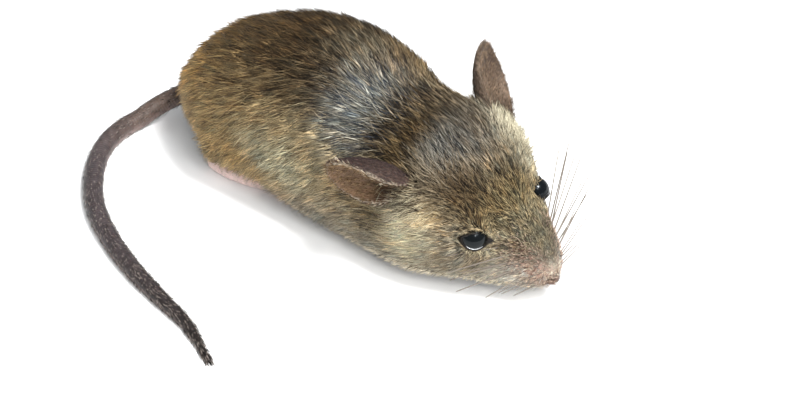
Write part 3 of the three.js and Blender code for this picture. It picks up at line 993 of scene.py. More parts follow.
EYE_GLOSS = eye_material()
TEAR_GLINT = tear_glint_material()
for side, sign in SIDES.items():
    bm = bmesh.new()
    bmesh.ops.create_uvsphere(bm, u_segments=48, v_segments=32, radius=EYE["radius"] * MM)
    bmesh.ops.translate(bm, verts=bm.verts, vec=Vector(EYE["at"]) * MM)
    for v in bm.verts:
        v.co.x *= sign
    bmesh.ops.recalc_face_normals(bm, faces=bm.faces)
    eyeball = from_bmesh(f"eyeball_{side}", bm)
    eyeball.data.shade_smooth()
    eyeball.data.materials.append(EYE_GLOSS)
    finish(eyeball, "wet_eye", f"eye_{side}")
print("eyes in")

# %% Tears along the lower lids
# Radius of the thread and how far it stands off the ball in mm, where round the eye it starts and ends as
# shares of half a turn, and the share of the opening's half-widths that it runs at.
TEAR = {"radius": 0.045, "proud": 0.03, "turn": (1.22, 1.8), "wide": 0.86, "tall": 0.93}
for side in SIDES:
    middle, out, front, up = eye_placing[side]
    line = []
    for turn in np.linspace(*np.multiply(np.pi, TEAR["turn"]), 20):
        ahead, high = np.cos(turn), np.sin(turn) * LID["under"]
        ahead *= LID["front"] if ahead > 0 else LID["back"]
        ray_ahead, ray_up = ahead / EYE["radius"] * TEAR["wide"], high / EYE["radius"] * TEAR["tall"]
        ray_out = np.sqrt(max(0.02, 1 - ray_ahead**2 - ray_up**2))
        ray = unit(out * ray_out + front * ray_ahead + up * ray_up)
        line.append(middle + ray * (EYE["radius"] + TEAR["proud"]) * MM)
    taper = np.sin(np.linspace(0.1, np.pi - 0.1, len(line)))
    tears = tube(f"tears_{side}", line, TEAR["radius"] * MM * taper)
    tears.data.shade_smooth()
    tears.data.materials.append(TEAR_GLINT)
    finish(tears, "wet_eye")
print("tears in")

# %% [markdown]
# ## An unwrap for the coat
# Every tuft of the coat takes its place on one flat unwrap of the skin, so that its colours can be moved
# to a flat sheet later. Seams could be cut by hand along the belly and legs. Smart UV Project finds them
# from the skin's own shape, which is quicker and good enough under fur.

# %% Unwrap the skin
def unwrap(piece, name):
    """Smart-projects a piece's faces on a UV map of the given name."""
    piece.data.uv_layers.new(name=name)
    bpy.ops.object.select_all(action="DESELECT")
    bpy.context.view_layer.objects.active = piece
    piece.select_set(True)
    bpy.ops.object.mode_set(mode="EDIT")
    bpy.ops.mesh.select_all(action="SELECT")
    bpy.ops.uv.smart_project(angle_limit=np.radians(66), island_margin=0.002)
    bpy.ops.object.mode_set(mode="OBJECT")


unwrap(skin, "OFBake")
print("skin unwrapped")

# %% [markdown]
# ## The coat
# Fur could be made of strands, but strands are not solid. Here it is solid mesh: each tuft is a slender
# closed spindle, rooted in the skin. Long tufts have a bend: they rise from the skin and then lie along
# it. Their roots are strewn over the skin by area, and the way they lie is one smooth field that runs
# from the nose to the tail, down the flanks and round the eyes and ears.

# %% Strew roots over the skin
SEED = 7
rng = np.random.default_rng(SEED)
THINNING = 1.0


def triangles_of(mesh):
    """Corner points and corner loops of the mesh's triangles."""
    mesh.calc_loop_triangles()
    count = len(mesh.loop_triangles)
    corners, loops = np.empty(count * 3, np.int32), np.empty(count * 3, np.int32)
    mesh.loop_triangles.foreach_get("vertices", corners)
    mesh.loop_triangles.foreach_get("loops", loops)
    return corners.reshape(-1, 3), loops.reshape(-1, 3)


corners, loops = triangles_of(skin.data)
flat_uv = np.empty(len(skin.data.loops) * 2, np.float32)
skin.data.uv_layers["OFBake"].uv.foreach_get("vector", flat_uv)
skin_uv = flat_uv.reshape(-1, 2)
edge_a = skin_points[corners[:, 1]] - skin_points[corners[:, 0]]
edge_b = skin_points[corners[:, 2]] - skin_points[corners[:, 0]]
areas = np.linalg.norm(np.cross(edge_a, edge_b), axis=1) / 2 / MM**2
print("skin area:", round(areas.sum()), "mm2")


def strew(density):
    """Roots at so many per mm2 of each point of the skin: their places, normals and skin values."""
    wanted = areas * density[corners].mean(axis=1) * THINNING
    count = rng.poisson(wanted)
    triangle = np.repeat(np.arange(len(areas)), count)
    u, v = rng.random((2, len(triangle)))
    over = u + v > 1
    u, v = np.where(over, 1 - u, u), np.where(over, 1 - v, v)
    weights = np.column_stack([1 - u - v, u, v])

    def at_root(values, index):
        return np.einsum("ij,ij...->i...", weights, values[index[triangle]])

    return {
        "place": at_root(skin_points, corners),
        "normal": unit(at_root(skin_normals, corners)),
        "uv": at_root(skin_uv, loops),
        "eye": at_root(eye_share, corners),
        "corner": at_root(corner_gap, corners),
        "across": at_root(ear_across, corners),
        "along": at_root(ear_along, corners),
        "inside": at_root(ear_inside, corners),
        "run": at_root(run, corners),
        **{part: at_root(part_share[part], corners) for part in PARTS},
    }


# %% The lie of the coat
def around(points, middles, strength, reach):
    """A push away from some middles, fading over a reach in mm."""
    push = np.zeros_like(points)
    for middle in middles:
        away = points - middle
        distance = np.linalg.norm(away, axis=1)
        fading = strength * np.exp(-((distance / (reach * MM)) ** 2))
        push += away / distance[:, None] * fading[:, None]
    return push


# How strongly the lie is turned and over how many mm: towards the tail, round the eyes, round the ears.
TURNED_BY = {"tail": (1.6, 4.5), "eyes": (1.5, 2.6), "ears": (0.5, 4.0)}
# The lie also wanders a little: how far, over how many mm, and where the wave starts.
WANDERS = [(0.18, 5.0, 1.0), (0.07, 1.7, 2.0)]
EYE_MIDDLES = [np.array(EYE["at"]) * [sign, 1, 1] * MM for sign in SIDES.values()]
EAR_ROOTS = [np.array(EARS[side]["root"]) * MM for side in SIDES]


def waver(points, wave, turn):
    """A smooth value between -1 and 1 that wanders over the body, one swing in a wave's length."""
    x, y, z = (points * 2 * np.pi / wave + turn).T
    swings = [x + 1.3 * np.sin(y + turn), y + 1.3 * np.sin(z - turn), z + 1.3 * np.sin(x)]
    return sum(np.sin(swing) for swing in swings) / 3


def wander(points, waves):
    """A sum of wavers, each given by its amount, its wave's length in mm and where it starts."""
    return sum(amount * waver(points, wave * MM, start) for amount, wave, start in waves)


def settle(flow, roots):
    """Lays a direction along the skin at each root."""
    normal = roots["normal"]
    return unit(flow - normal * (flow * normal).sum(axis=1, keepdims=True))


def lie_of_coat(roots, straying):
    """The direction in which each tuft lies. Straying is how far single tufts turn from it."""
    place, normal = roots["place"], roots["normal"]
    y, z = place[:, 1] / MM, place[:, 2] / MM
    steep = rise(np.abs(normal[:, 0]), 0.3, 0.85)
    down = steep * (0.5 * rise(y, -22, -8) + 0.22) * rise(z, 2, 6)
    down += 0.9 * rise(normal[:, 1], 0.25, 0.85) * rise(y, 0, 12) * rise(normal[:, 2], -0.5, 0.0)
    flow = np.column_stack([np.zeros(len(y)), np.ones(len(y)), -down])
    strength, reach = TURNED_BY["tail"]
    at_tail = np.exp(-((np.linalg.norm(place / MM - TAIL_LINE[1], axis=1) / reach) ** 2))
    flow += unit(np.subtract(TAIL_LINE[3], TAIL_LINE[0])) * (strength * at_tail)[:, None]
    flow += around(place, EYE_MIDDLES, *TURNED_BY["eyes"])
    flow += around(place, EAR_ROOTS, *TURNED_BY["ears"])
    flow = settle(flow, roots)
    sideways = np.cross(normal, flow)
    turn = wander(place, WANDERS) + rng.normal(0, 1, len(y)) * straying
    return flow * np.cos(turn)[:, None] + sideways * np.sin(turn)[:, None]


# %% [markdown]
# ## One tuft
# A tuft is a slender spindle: a point in the skin, a ring of three a little before half-way, and a point at
# the tip, six faces in all. Its tip is set a coat's depth above the skin that it reaches over, so that
# the coat keeps an even depth round every curve of the body. Tufts that share a lock lean together.

# %% Middle and tip of a tuft
PATCH = 0.003
RING_AT = 0.42
TUFT_FACES = np.array([(0, 2, 1), (0, 3, 2), (0, 1, 3), (1, 2, 4), (2, 3, 4), (3, 1, 4)])
TUFT_ALONG = [0.0, RING_AT, RING_AT, RING_AT, 1.0]
TUFT_ACROSS = [0.5, 0.0, 1.0, 0.5, 0.5]
skin_tree = tree_of(skin_points)
# Half-widths in mm of the place round the right eye's middle that tufts keep out of.
EYE_CLEAR = {"front": 2.4, "back": 1.75, "over": 1.65, "under": 1.2}


def clear_of_eye(points):
    """Moves the points that hang over the right eye's opening to the opening's edge."""
    middle, out, front, up = eye_placing["right"]
    offset = (points - middle) / MM
    ahead, high = offset @ front, offset @ up
    wide = np.where(ahead > 0, EYE_CLEAR["front"], EYE_CLEAR["back"])
    tall = np.where(high > 0, EYE_CLEAR["over"], EYE_CLEAR["under"])
    share = np.maximum(np.hypot(ahead / wide, high / tall), 0.2)
    push = np.where(offset @ out > 0, np.maximum(1 / share, 1) - 1, 0)[:, None]
    return points + (front * ahead[:, None] + up * high[:, None]) * push * MM


def lie_over(roots, flow, reach, height):
    """Middle and tip of each tuft. The tip is held at a height above the skin that it reaches over."""
    place, normal = roots["place"], roots["normal"]
    ahead = place + flow * reach[:, None]
    under = nearest(skin_tree, ahead)
    out = skin_normals[under]
    ahead -= out * ((ahead - skin_points[under]) * out).sum(axis=1, keepdims=True)
    tip = ahead + out * height[:, None]
    middle = place + (ahead - place) * RING_AT + unit(normal + out) * (0.7 * height)[:, None]
    return middle, tip


def stand_out(roots, flow, reach, height):
    """Middle and tip of each tuft on thin or narrow parts, where it is straight."""
    middle = roots["place"] + flow * (RING_AT * reach)[:, None] + roots["normal"] * (0.6 * height)[:, None]
    return middle, roots["place"] + flow * reach[:, None] + roots["normal"] * height[:, None]


# %% Locks
def gather(places, middle, tip, per_lock, pull, sway):
    """Leans tufts together in locks, each swayed its own way. Returns middles, tips and for each tuft
    its lock's random tone and how far out in the lock it is rooted."""
    centres = rng.choice(len(places), max(1, len(places) // per_lock), replace=False)
    lock = nearest(tree_of(places[centres]), places)
    off = places[centres][lock] - places
    out = np.linalg.norm(off, axis=1)
    out /= max(out.mean(), 1e-9)
    swayed = np.linalg.norm(tip - places, axis=1) * sway
    lean = off * pull + rng.normal(0, 1, (len(centres), 3))[lock] * swayed[:, None]
    tone = rng.normal(0, 1, len(centres))[lock]
    return middle + lean * RING_AT, tip + lean, (tone, out)


# %% Build tufts
def write_tint(mesh, name, rows):
    """Stores a colour for each point."""
    flat = np.column_stack([rows, np.ones(len(rows))]).astype(np.float32).ravel()
    mesh.attributes.new(name, "FLOAT_COLOR", "POINT").data.foreach_set("color", flat)


def grow(name, roots, middle, tip, width, tints, slot="coat"):
    """One piece of the coat: a spindle for each root."""
    count = len(tip)
    middle, tip = clear_of_eye(middle), clear_of_eye(tip)
    line = unit(tip - roots["place"])
    across = unit(np.cross(roots["normal"], line))
    roll = rng.normal(0, 0.4, count)[:, None]
    ridge = unit(np.cross(line, across))
    side = (across * np.cos(roll) + ridge * np.sin(roll)) * (width / 2)[:, None]
    top = (ridge * np.cos(roll) - across * np.sin(roll)) * (width / 2)[:, None]
    root = roots["place"] - roots["normal"] * 0.08 * MM
    rows = [root, middle - side - top * 0.3, middle + side - top * 0.3, middle + top * 0.6, tip]
    points = np.stack(rows, axis=1)
    points[:, :, 2] = np.maximum(points[:, :, 2], 0.05 * MM)
    per = len(rows)
    index = (np.arange(count)[:, None, None] * per + TUFT_FACES[None]).reshape(-1)
    mesh = bpy.data.meshes.new(name)
    mesh.vertices.add(count * per)
    mesh.vertices.foreach_set("co", points.astype(np.float32).ravel())
    mesh.loops.add(len(index))
    mesh.loops.foreach_set("vertex_index", index.astype(np.int32))
    mesh.polygons.add(len(index) // 3)
    mesh.polygons.foreach_set("loop_start", np.arange(0, len(index), 3, dtype=np.int32))
    mesh.update(calc_edges=True)
    mesh.shade_smooth()
    at = roots["uv"][:, None, :] + PATCH * (np.column_stack([TUFT_ACROSS, TUFT_ALONG])[None] - 0.5)
    uv = mesh.uv_layers.new(name="OFBake")
    uv.uv.foreach_set("vector", np.clip(at, 0, 1).reshape(-1, 2)[index].astype(np.float32).ravel())
    write_tint(mesh, "tint", np.repeat(tints, per, axis=0))
    along = np.tile(TUFT_ALONG, count).astype(np.float32)
    mesh.attributes.new("along", "FLOAT", "POINT").data.foreach_set("value", along)
    mesh.materials.append(HAIR)
    piece = new_object(name, mesh)
    finish(piece, slot)
    print(f"{name}: {count} tufts, {len(index) // 3} triangles")
    return len(index) // 3


# %% Colour the tufts
WARMTH = 0.13
TONE_MOST = 0.75
DRAWN_OUT = np.array([1.0, 0.5, 1.0])  # blotches are twice as long along the body as across it
# Blotches of dark hairs: how strong, over how many mm, and where the wave starts.
BLOTCHES = [(0.7, 1.1, 3.0), (0.5, 2.6, 2.0)]


def hair_colours(places, lock, spread, crisp, blotch):
    """A colour for each tuft: pale or dark by the share at its tip. Spread is how far their tones differ,
    crisp how far pale and dark ones do, and blotch how strong the soft blotches are."""
    lock_tone, out = lock
    pale, dark, share = markings(places)
    drawn = places * DRAWN_OUT
    share = share + blotch * wander(drawn, BLOTCHES) + 0.1 * lock_tone
    is_dark = rng.random(len(share)) < share
    amount = crisp * is_dark + (1 - crisp) * rise(share, 0.0, 1.0)
    # Tufts rooted towards a lock's edge are darker: painted shade in the gaps between locks.
    tone = rng.normal(0, spread, len(share)) + 0.2 * lock_tone - 0.3 * (out - 1)
    tone += blotch * (waver(drawn, 0.9 * MM, 0.5) + 0.7 * waver(places, 3.4 * MM, 4.0))
    tone = np.clip(tone, -TONE_MOST, TONE_MOST)
    warm = WARMTH * waver(drawn, 2.2 * MM, 5.0) + 0.03 * lock_tone
    hue = np.column_stack([1 + warm, np.ones(len(warm)), 1 - warm])
    return (pale + (dark - pale) * amount[:, None]) * np.exp(tone)[:, None] * hue


# %% Grow a region's coat or a kind of hair
def some(roots, chosen):
    """The roots that pass a test."""
    return {key: values[chosen] for key, values in roots.items()}


def grow_parts(name, bounds, roots, middle, tip, width, tints):
    """Grows one coat as pieces: left and right halves, cut at some places along the body."""
    triangles = 0
    for part, (start, end) in bounds.items():
        for side, sign in SIDES.items():
            y = roots["place"][:, 1] / MM
            chosen = (y >= start) & (y < end) & (roots["place"][:, 0] * sign >= 0)
            label = f"{name}_{part}_{side}"
            cut = [values[chosen] for values in (middle, tip, width, tints)]
            triangles += grow(label, some(roots, chosen), *cut)
    return triangles


def grow_coat(coat, roots, flow, longer, taller, wider):
    """The coat of one region: tufts that lie flat, are gathered in locks, and are cut into pieces."""
    count = len(flow)
    depth = coat_depth(roots["place"])
    reach = depth * coat["reach"] * rng.uniform(*coat["reach_varies"], count) * longer
    height = depth * rng.uniform(*coat["height_varies"], count) * taller
    middle, tip = lie_over(roots, flow, reach, height)
    middle, tip, lock = gather(roots["place"], middle, tip, *coat["locks"])
    width = coat["width"] * MM * rng.uniform(*coat["width_varies"], count) * wider
    tints = hair_colours(tip, lock, *coat["colours"])
    return grow_parts("coat", coat["parts"], roots, middle, tip, width, tints)


def grow_hairs(name, roots, flow, hairs, longer=1.0, taller=1.0):
    """Single straight hairs of two colours, some pale and some dark."""
    count = len(flow)
    reach = rng.uniform(*hairs["reach"], count) * MM * longer
    height = rng.uniform(*hairs["height"], count) * MM * taller
    middle, tip = stand_out(roots, flow, reach, height)
    is_dark = rng.random(count) < hairs["dark_share"]
    tints = np.where(is_dark[:, None], linear(hairs["dark"]), linear(hairs["pale"]))
    tints = tints * np.exp(rng.normal(0, hairs["spread"], count))[:, None]
    width = hairs["width"] * MM * rng.uniform(0.7, 1.2, count)
    return grow(name, roots, middle, tip, width, tints)


def mirror_of(roots):
    """What a direction given for the left side is multiplied by on each root's own side."""
    return np.sign(roots["place"][:, :1]) * [1, 0, 0] + [0, 1, 1]


# %% [markdown]
# ## Where the coat grows
# Fur covers the body and the bridge of the nose, stops at the lids and is thin near the floor. Its edges
# could be cut from a drawn mask. Here each of them is a share from 0 to 1 at every point of the skin, and a
# density is their product, so that every edge of the coat thins out softly.

# %% Shares for the coat's density
HEAD_END = -19.5
LID_EDGE = {"left": 1.32, "right": 1.16}
LID_FADE = 0.16
skin_y, skin_z = skin_points[:, 1] / MM, skin_points[:, 2] / MM
nose_top = part_share["nose"] * rise(skin_z, 4.2, 4.9)
furred = rise(part_share["body"] + nose_top, 0.35, 0.75)
lid_edge = np.where(skin_points[:, 0] > 0, LID_EDGE["left"], LID_EDGE["right"])
on_lid = rise(eye_share, lid_edge, lid_edge + LID_FADE) * (1 - eye_corner)
off_floor = rise(skin_z, 0.3, 1.5) * 0.8 + 0.2
print("furred points:", int((furred > 0.5).sum()))

# %% [markdown]
# ## Coats of the body and the head
# The body's tufts are long and broad, the head's are finer, shorter and denser. The coat is shallower round
# the tail's root and over the hind feet. On the head the hairs are cropped round the eyes, in front of the
# ears and in the hollow before the eye, and one in five is a strong long one. One function grows both coats
# from a few measures, so that they meet without a seam.

# %% Coat of the body
# Locks: tufts in each, how strongly they lean together, how far a lock sways. Colours: spread, crisp, blotch.
BODY_COAT = {
    "density": 48,
    "straying": 0.16,
    "reach": 2.1,
    "reach_varies": (0.6, 1.1),
    "height_varies": (0.7, 1.0),
    "width": 0.128,
    "width_varies": (0.6, 1.35),
    "locks": (20, 0.6, 0.09),
    "colours": (0.17, 0.62, 0.62),
    "parts": {"rump": (9.0, 99.0), "back": (-1.5, 9.0), "flank": (-10.0, -1.5), "shoulder": (-99.0, -10.0)},
}
TAIL_ROOT_REACH = 3.5
behind_head = rise(skin_y, HEAD_END - 3, HEAD_END + 3)
body_roots = strew(furred * BODY_COAT["density"] * behind_head * off_floor)
flow = lie_of_coat(body_roots, BODY_COAT["straying"])
to_tail = np.linalg.norm(body_roots["place"] / MM - TAIL_LINE[1], axis=1)
at_tail = np.exp(-((to_tail / TAIL_ROOT_REACH) ** 2))
thinner = (1 - 0.75 * over_foot(body_roots["place"])) * (1 - 0.5 * at_tail)
coat_triangles = grow_coat(BODY_COAT, body_roots, flow, thinner, thinner, 1.0)

# %% Coat of the head
HEAD_COAT = {
    "density": 62,
    "on_muzzle": 14,
    "straying": 0.14,
    "reach": 3.2,
    "reach_varies": (0.7, 1.15),
    "height_varies": (0.7, 1.05),
    "width": 0.075,
    "width_varies": (0.6, 1.3),
    "locks": (11, 0.38, 0.04),
    "colours": (0.26, 0.9, 0.36),
    "parts": {"crown": (-29.5, 99.0), "face": (-99.0, -29.5)},
}
EAR_FRONT = {"at": (10.0, -26.3, 15.2), "reach": 1.2}
# Between two gaps from each of these places the hairs grow from a least share of their length to all of it.
CROPPED = {
    "eye": (1.15, 1.8, 0.5),
    "corner": (0.7, 2.0, 0.25),
    "hollow": (0.5, 2.2, 0.6),
    "ear": (1.2, 2.8, 0.4),
}
STRONG = {"share": 0.2, "longer": 1.45, "taller": 1.15, "wider": 1.5}
head = rise(skin_y, HEAD_END + 3, HEAD_END - 3)
on_pad = around_line(skin_points, PAD, PAD_REACH)
head_density = HEAD_COAT["density"] + HEAD_COAT["on_muzzle"] * rise(skin_y, -32, -38)
head_roots = strew(furred * on_lid * head_density * head * (1 - 0.45 * on_pad))
root_y = head_roots["place"][:, 1] / MM
flow = lie_of_coat(head_roots, HEAD_COAT["straying"] + 0.25 * rise(root_y, -35, -39))
places = folded(head_roots["place"])
gaps = {
    "eye": head_roots["eye"],
    "corner": head_roots["corner"],
    "hollow": distance_to_line(places, HOLLOWS["before the eye"]["line"]),
    "ear": np.linalg.norm(places - EAR_FRONT["at"], axis=1),
}
cropped = [least + (1 - least) * rise(gaps[near], *reach) for near, (*reach, least) in CROPPED.items()]
length = np.min(cropped, axis=0)
strong = rng.random(len(length)) < STRONG["share"]
longer, taller, wider = [np.where(strong, STRONG[way], 1.0) for way in ("longer", "taller", "wider")]
fine = 0.65 + 0.35 * rise(root_y, -40, -34)
coat_triangles += grow_coat(HEAD_COAT, head_roots, flow, length * longer, length * taller, wider * fine)

# %% [markdown]
# ## Guard hairs and fringes
# Single long hairs stand a little above the coat. They are hardly seen from above, but at the outline,
# where the eye looks along them, they blur it into the soft pale edge that fur has against the light. The
# pale ones are brightened past the coat's pale colour, as painted backlight for that edge.

# %% Guard hairs
GUARD = {"density": 3.8, "on_head": 2.2, "on_temple": 14, "dark_share": 0.45, "width": 0.06}
TEMPLE_AT, TEMPLE_REACH = PATCHES["temple"][0], 3.2


def in_temple(points):
    """How close each point is to the temple between eye and ear on either side, from 0 to 1. On the far side
    this place carries painted backlight.
    """
    return np.exp(-((np.linalg.norm(folded(points) - TEMPLE_AT, axis=1) / TEMPLE_REACH) ** 2))


temple = in_temple(skin_points)
guard_density = GUARD["density"] + GUARD["on_head"] * rise(skin_y, HEAD_END, HEAD_END - 4)
guard_density += GUARD["on_temple"] * temple
guard_roots = strew(furred * on_lid * rise(corner_gap, 1.0, 1.8) * off_floor * guard_density)
flow = lie_of_coat(guard_roots, 0.3)
depth = coat_depth(guard_roots["place"]) * (1 - 0.75 * over_foot(guard_roots["place"]))
count = len(depth)
longer = 1 + 0.7 * in_temple(guard_roots["place"]) - 0.3 * rise(guard_roots["place"][:, 1] / MM, 4, 12)
reach = depth * 2.6 * rng.uniform(0.9, 1.3, count) * longer
height = depth * rng.uniform(1.05, 1.4, count) * longer
middle, tip = lie_over(guard_roots, flow, reach, height)
pale, dark, _ = markings(tip)
is_dark = rng.random(count) < GUARD["dark_share"]
# Pale guard hairs are a third brighter than the coat's pale colour: painted backlight along the outline.
tints = np.where(is_dark[:, None], dark, 1.35 * pale) * rng.uniform(0.8, 1.2, count)[:, None]
width = GUARD["width"] * MM * rng.uniform(0.8, 1.2, count)
coat_triangles += grow("guard_hairs", guard_roots, middle, tip, width, tints)

# %% [markdown]
# ## Standing hairs
# On the temples and the ridge of the shoulders some hairs stand nearly straight up. They all take the pale
# colour of the place where they grow, so that the outline there looks soft and bright: painted backlight.

# %% Standing hairs at the outline
STANDING = {"on_temple": 22, "on_ridge": 7, "reach": (0.7, 1.7), "height": (1.3, 2.1), "width": 0.09}
RIDGE = {"at": (5.0, -11.0, 24.0), "reach": (3.5, 7.0, 3.5)}
ridge_gap = np.linalg.norm((folded(skin_points) - RIDGE["at"]) / RIDGE["reach"], axis=1)
standing_density = STANDING["on_temple"] * temple + STANDING["on_ridge"] * np.exp(-(ridge_gap**2))
standing_roots = strew(furred * on_lid * standing_density)
flow = lie_of_coat(standing_roots, 0.35)
count = len(flow)
reach = rng.uniform(*STANDING["reach"], count) * MM
height = rng.uniform(*STANDING["height"], count) * MM
middle, tip = stand_out(standing_roots, flow, reach, height)
pale, _, _ = markings(standing_roots["place"])
# All pale and none dark: painted backlight along the outline.
tints = 0.85 * pale * np.exp(rng.normal(0, 0.2, count))[:, None]
width = STANDING["width"] * MM * rng.uniform(0.8, 1.2, count)
coat_triangles += grow("standing_hairs", standing_roots, middle, tip, width, tints)

# %% [markdown]
# ## Single hairs in two colours
# Along the belly's edge, round the eyes, on the whisker pads and before the ears grow straight hairs,
# pale and dark ones mixed. Each kind is a density, a direction and a few ranges, and one function grows
# them all.

# %% Long pale hairs along the belly's edge
HEM = {
    "pale": "#ece0c4", "dark": "#5d503c", "dark_share": 0.2, "spread": 0.2,
    "reach": (1.2, 2.4), "height": (0.8, 1.6), "width": 0.075, "density": 20,
}
HEM_LIE = np.array([0.3, 0.75, -0.6])
hem = rise(skin_z, 1.2, 2.0) * rise(skin_z, 6.0, 3.5) * rise(skin_y, 8, -2) * rise(skin_y, -38.5, -34.0)
hem *= rise(np.abs(skin_normals[:, 0]), 0.3, 0.7) * rise(corner_gap, 1.5, 3.0)
roots = strew(furred * hem * HEM["density"])
flow = HEM_LIE * mirror_of(roots) + rng.normal(0, 0.2, roots["place"].shape)
shorter = 1 - 0.45 * rise(roots["place"][:, 1] / MM, -26, -32)
coat_triangles += grow_hairs("hem_hairs", roots, settle(flow, roots), HEM, shorter, shorter)

# %% Pale hairs round the eyes
# Behind an eye they sweep back, and under it they stand up more, most under the left one.
BROW = {
    "pale": "#cfc19c", "dark": "#4d4334", "dark_share": 0.25, "spread": 0.25,
    "reach": (0.7, 1.25), "height": (0.15, 0.35), "width": 0.055, "density": 36,
}
UPRIGHT = {"left": 1.4, "right": 0.7}
round_eye = rise(eye_share, lid_edge + 0.14, lid_edge + 0.26) * rise(eye_share, 3.0, 2.0)
roots = strew(furred * round_eye * rise(corner_gap, 0.8, 1.5) * BROW["density"])
place = roots["place"]
own_eye = np.where(place[:, :1] > 0, EYE_MIDDLES[0], EYE_MIDDLES[1])
behind = rise(place[:, 1] - own_eye[:, 1], -1.0 * MM, 0.8 * MM)[:, None]
flow = unit(place - own_eye) + behind * [0, 0.55, 0] + rng.normal(0, 0.15, place.shape)
below_eye = rise(place[:, 2] - own_eye[:, 2], 1.2 * MM, -0.6 * MM)
taller = 1 + np.where(place[:, 0] > 0, UPRIGHT["left"], UPRIGHT["right"]) * below_eye
coat_triangles += grow_hairs("brow_hairs", roots, settle(flow, roots), BROW, 1.0, taller)

# %% Bristly hairs on the whisker pads and the nose
PAD_HAIRS = {
    "pale": "#cdb29b", "dark": "#39261f", "dark_share": 0.36, "spread": 0.25,
    "reach": (0.45, 1.0), "height": (0.25, 0.65), "width": 0.042, "density": 34, "on_nose": 40,
}
pad_density = furred * on_pad * rise(corner_gap, 0.9, 1.8) * PAD_HAIRS["density"]
roots = strew(np.maximum(pad_density, part_share["nose"] * off_floor * PAD_HAIRS["on_nose"]))
coat_triangles += grow_hairs("pad_hairs", roots, lie_of_coat(roots, 0.5), PAD_HAIRS)

# %% Long hairs in front of the ears
# They fan out from a tuft before each ear: some back over its cup, others down behind the cheek.
FRINGE = {
    "pale": "#d9ccaa", "dark": "#241a14", "dark_share": 0.5, "spread": 0.25,
    "reach": (1.6, 3.8), "height": (1.3, 2.2), "width": 0.07, "density": 110,
}
EAR_FAN = {"back": (0.3, 0.95, 0.12), "down": (0.35, 0.4, -0.85), "turn": (-0.15, 1.25)}
from_front = np.linalg.norm(folded(skin_points) - EAR_FRONT["at"], axis=1) / EAR_FRONT["reach"]
roots = strew(furred * np.exp(-(from_front**2)) * rise(skin_y, -24.8, -25.6) * FRINGE["density"])
turn = rng.uniform(*EAR_FAN["turn"], len(roots["place"]))[:, None]
flow = (np.cos(turn) * EAR_FAN["back"] + np.sin(turn) * EAR_FAN["down"]) * mirror_of(roots)
flow += rng.normal(0, 0.1, flow.shape)
coat_triangles += grow_hairs("ear_fringe", roots, settle(flow, roots), FRINGE)

# %% [markdown]
# ## Ears, tail and feet
# These are nearly bare: the ears carry a fine down, longest in the cup and pale at the rim, the tail has
# stiff bristles that end in a small tuft, and the toes have a few pale hairs. They are straight and stand
# close to the skin, so that the skin's own colour still shows between them.

# %% Hairs on the ears
EAR_DOWN = {"density": 30, "fewer_inside": 6, "more_at_edge": 16, "pale_at_edge": 0.2, "width": 0.055}
# The deep colour is partly painted shade of the cup. The left ear's colour is painted light and shade that
# evens its hairs to one brown.
EAR_HAIRS = {
    "deep": "#3a241c", "inside": "#8a7152", "outside": "#463936", "edge": "#d8c9ae", "left": "#6a5a4c",
}
ear_density = EAR_DOWN["density"] - EAR_DOWN["fewer_inside"] * ear_inside
ear_density += EAR_DOWN["more_at_edge"] * rise(np.abs(ear_across), 0.9, 1.0)
ear_roots = strew(rise(part_share["ear"], 0.5, 0.9) * ear_density)
count = len(ear_roots["across"])
is_left = ear_roots["place"][:, 0] > 0
left_axes, right_axes = ear_axes(EARS["left"]), ear_axes(EARS["right"])
across = np.where(is_left[:, None], left_axes[0], right_axes[0])
along = np.where(is_left[:, None], left_axes[1], right_axes[1])
flow = along + across * (0.9 * ear_roots["across"] + rng.normal(0, 0.25, count))[:, None]
deep = ear_roots["inside"] * rise(ear_roots["along"], 0.5, 0.1)
reach = rng.uniform(0.5, 1.0, count) * (1 + 1.4 * deep) * MM
height = rng.uniform(0.08, 0.26, count) * (1 + deep) * MM
middle, tip = stand_out(ear_roots, settle(flow, ear_roots), reach, height)
edge = np.maximum(rise(np.abs(ear_roots["across"]), 0.9, 1.0), rise(ear_roots["along"], 0.94, 1.0))
tints = np.tile(linear(EAR_HAIRS["outside"]), (count, 1))
tints = toward(tints, EAR_HAIRS["inside"], ear_roots["inside"])
# Hairs deep in the cup darken: painted shade of the cup, partly darker hairs near the root.
tints = toward(tints, EAR_HAIRS["deep"], 0.8 * ear_roots["inside"] * rise(ear_roots["along"], 0.5, 0.25))
tints = toward(tints, EAR_HAIRS["edge"], edge * (rng.random(count) < EAR_DOWN["pale_at_edge"]))
# Painted light and shade: the left ear's hairs are evened to one brown.
tints = toward(tints, EAR_HAIRS["left"], 0.8 * is_left)
tints *= np.exp(rng.normal(0, 0.4, count))[:, None]
width = EAR_DOWN["width"] * MM * rng.uniform(0.7, 1.2, count)
coat_triangles += grow("ear_hairs", ear_roots, middle, tip, width, tints, "ear_skin")

# %% Bristles on the tail
BRISTLES = {"pale": "#a0948a", "dark": "#2c2624", "dark_share": 0.66, "width": 0.06}
BRISTLE_DENSITY = {"all along": 5, "towards the tip": 16, "at the tip": 24}
tail_end = tail_run[-1]
bristle_density = BRISTLE_DENSITY["all along"] + BRISTLE_DENSITY["towards the tip"] * rise(run, 20, 68)
bristle_density += BRISTLE_DENSITY["at the tip"] * rise(run, tail_end - 3, tail_end)
tail_roots = strew(rise(part_share["tail"], 0.6, 0.95) * bristle_density)
count = len(tail_roots["run"])
index = np.clip(np.searchsorted(tail_run, tail_roots["run"]), 0, len(tail_run) - 1)
flow = tail_tangents[index] + rng.normal(0, 0.12, (count, 3))
at_tip = rise(tail_roots["run"], tail_end - 4, tail_end)
reach = (rng.uniform(0.6, 1.0, count) + 0.9 * at_tip) * MM
height = rng.uniform(0.1, 0.3, count) * MM
middle, tip = stand_out(tail_roots, unit(flow), reach, height)
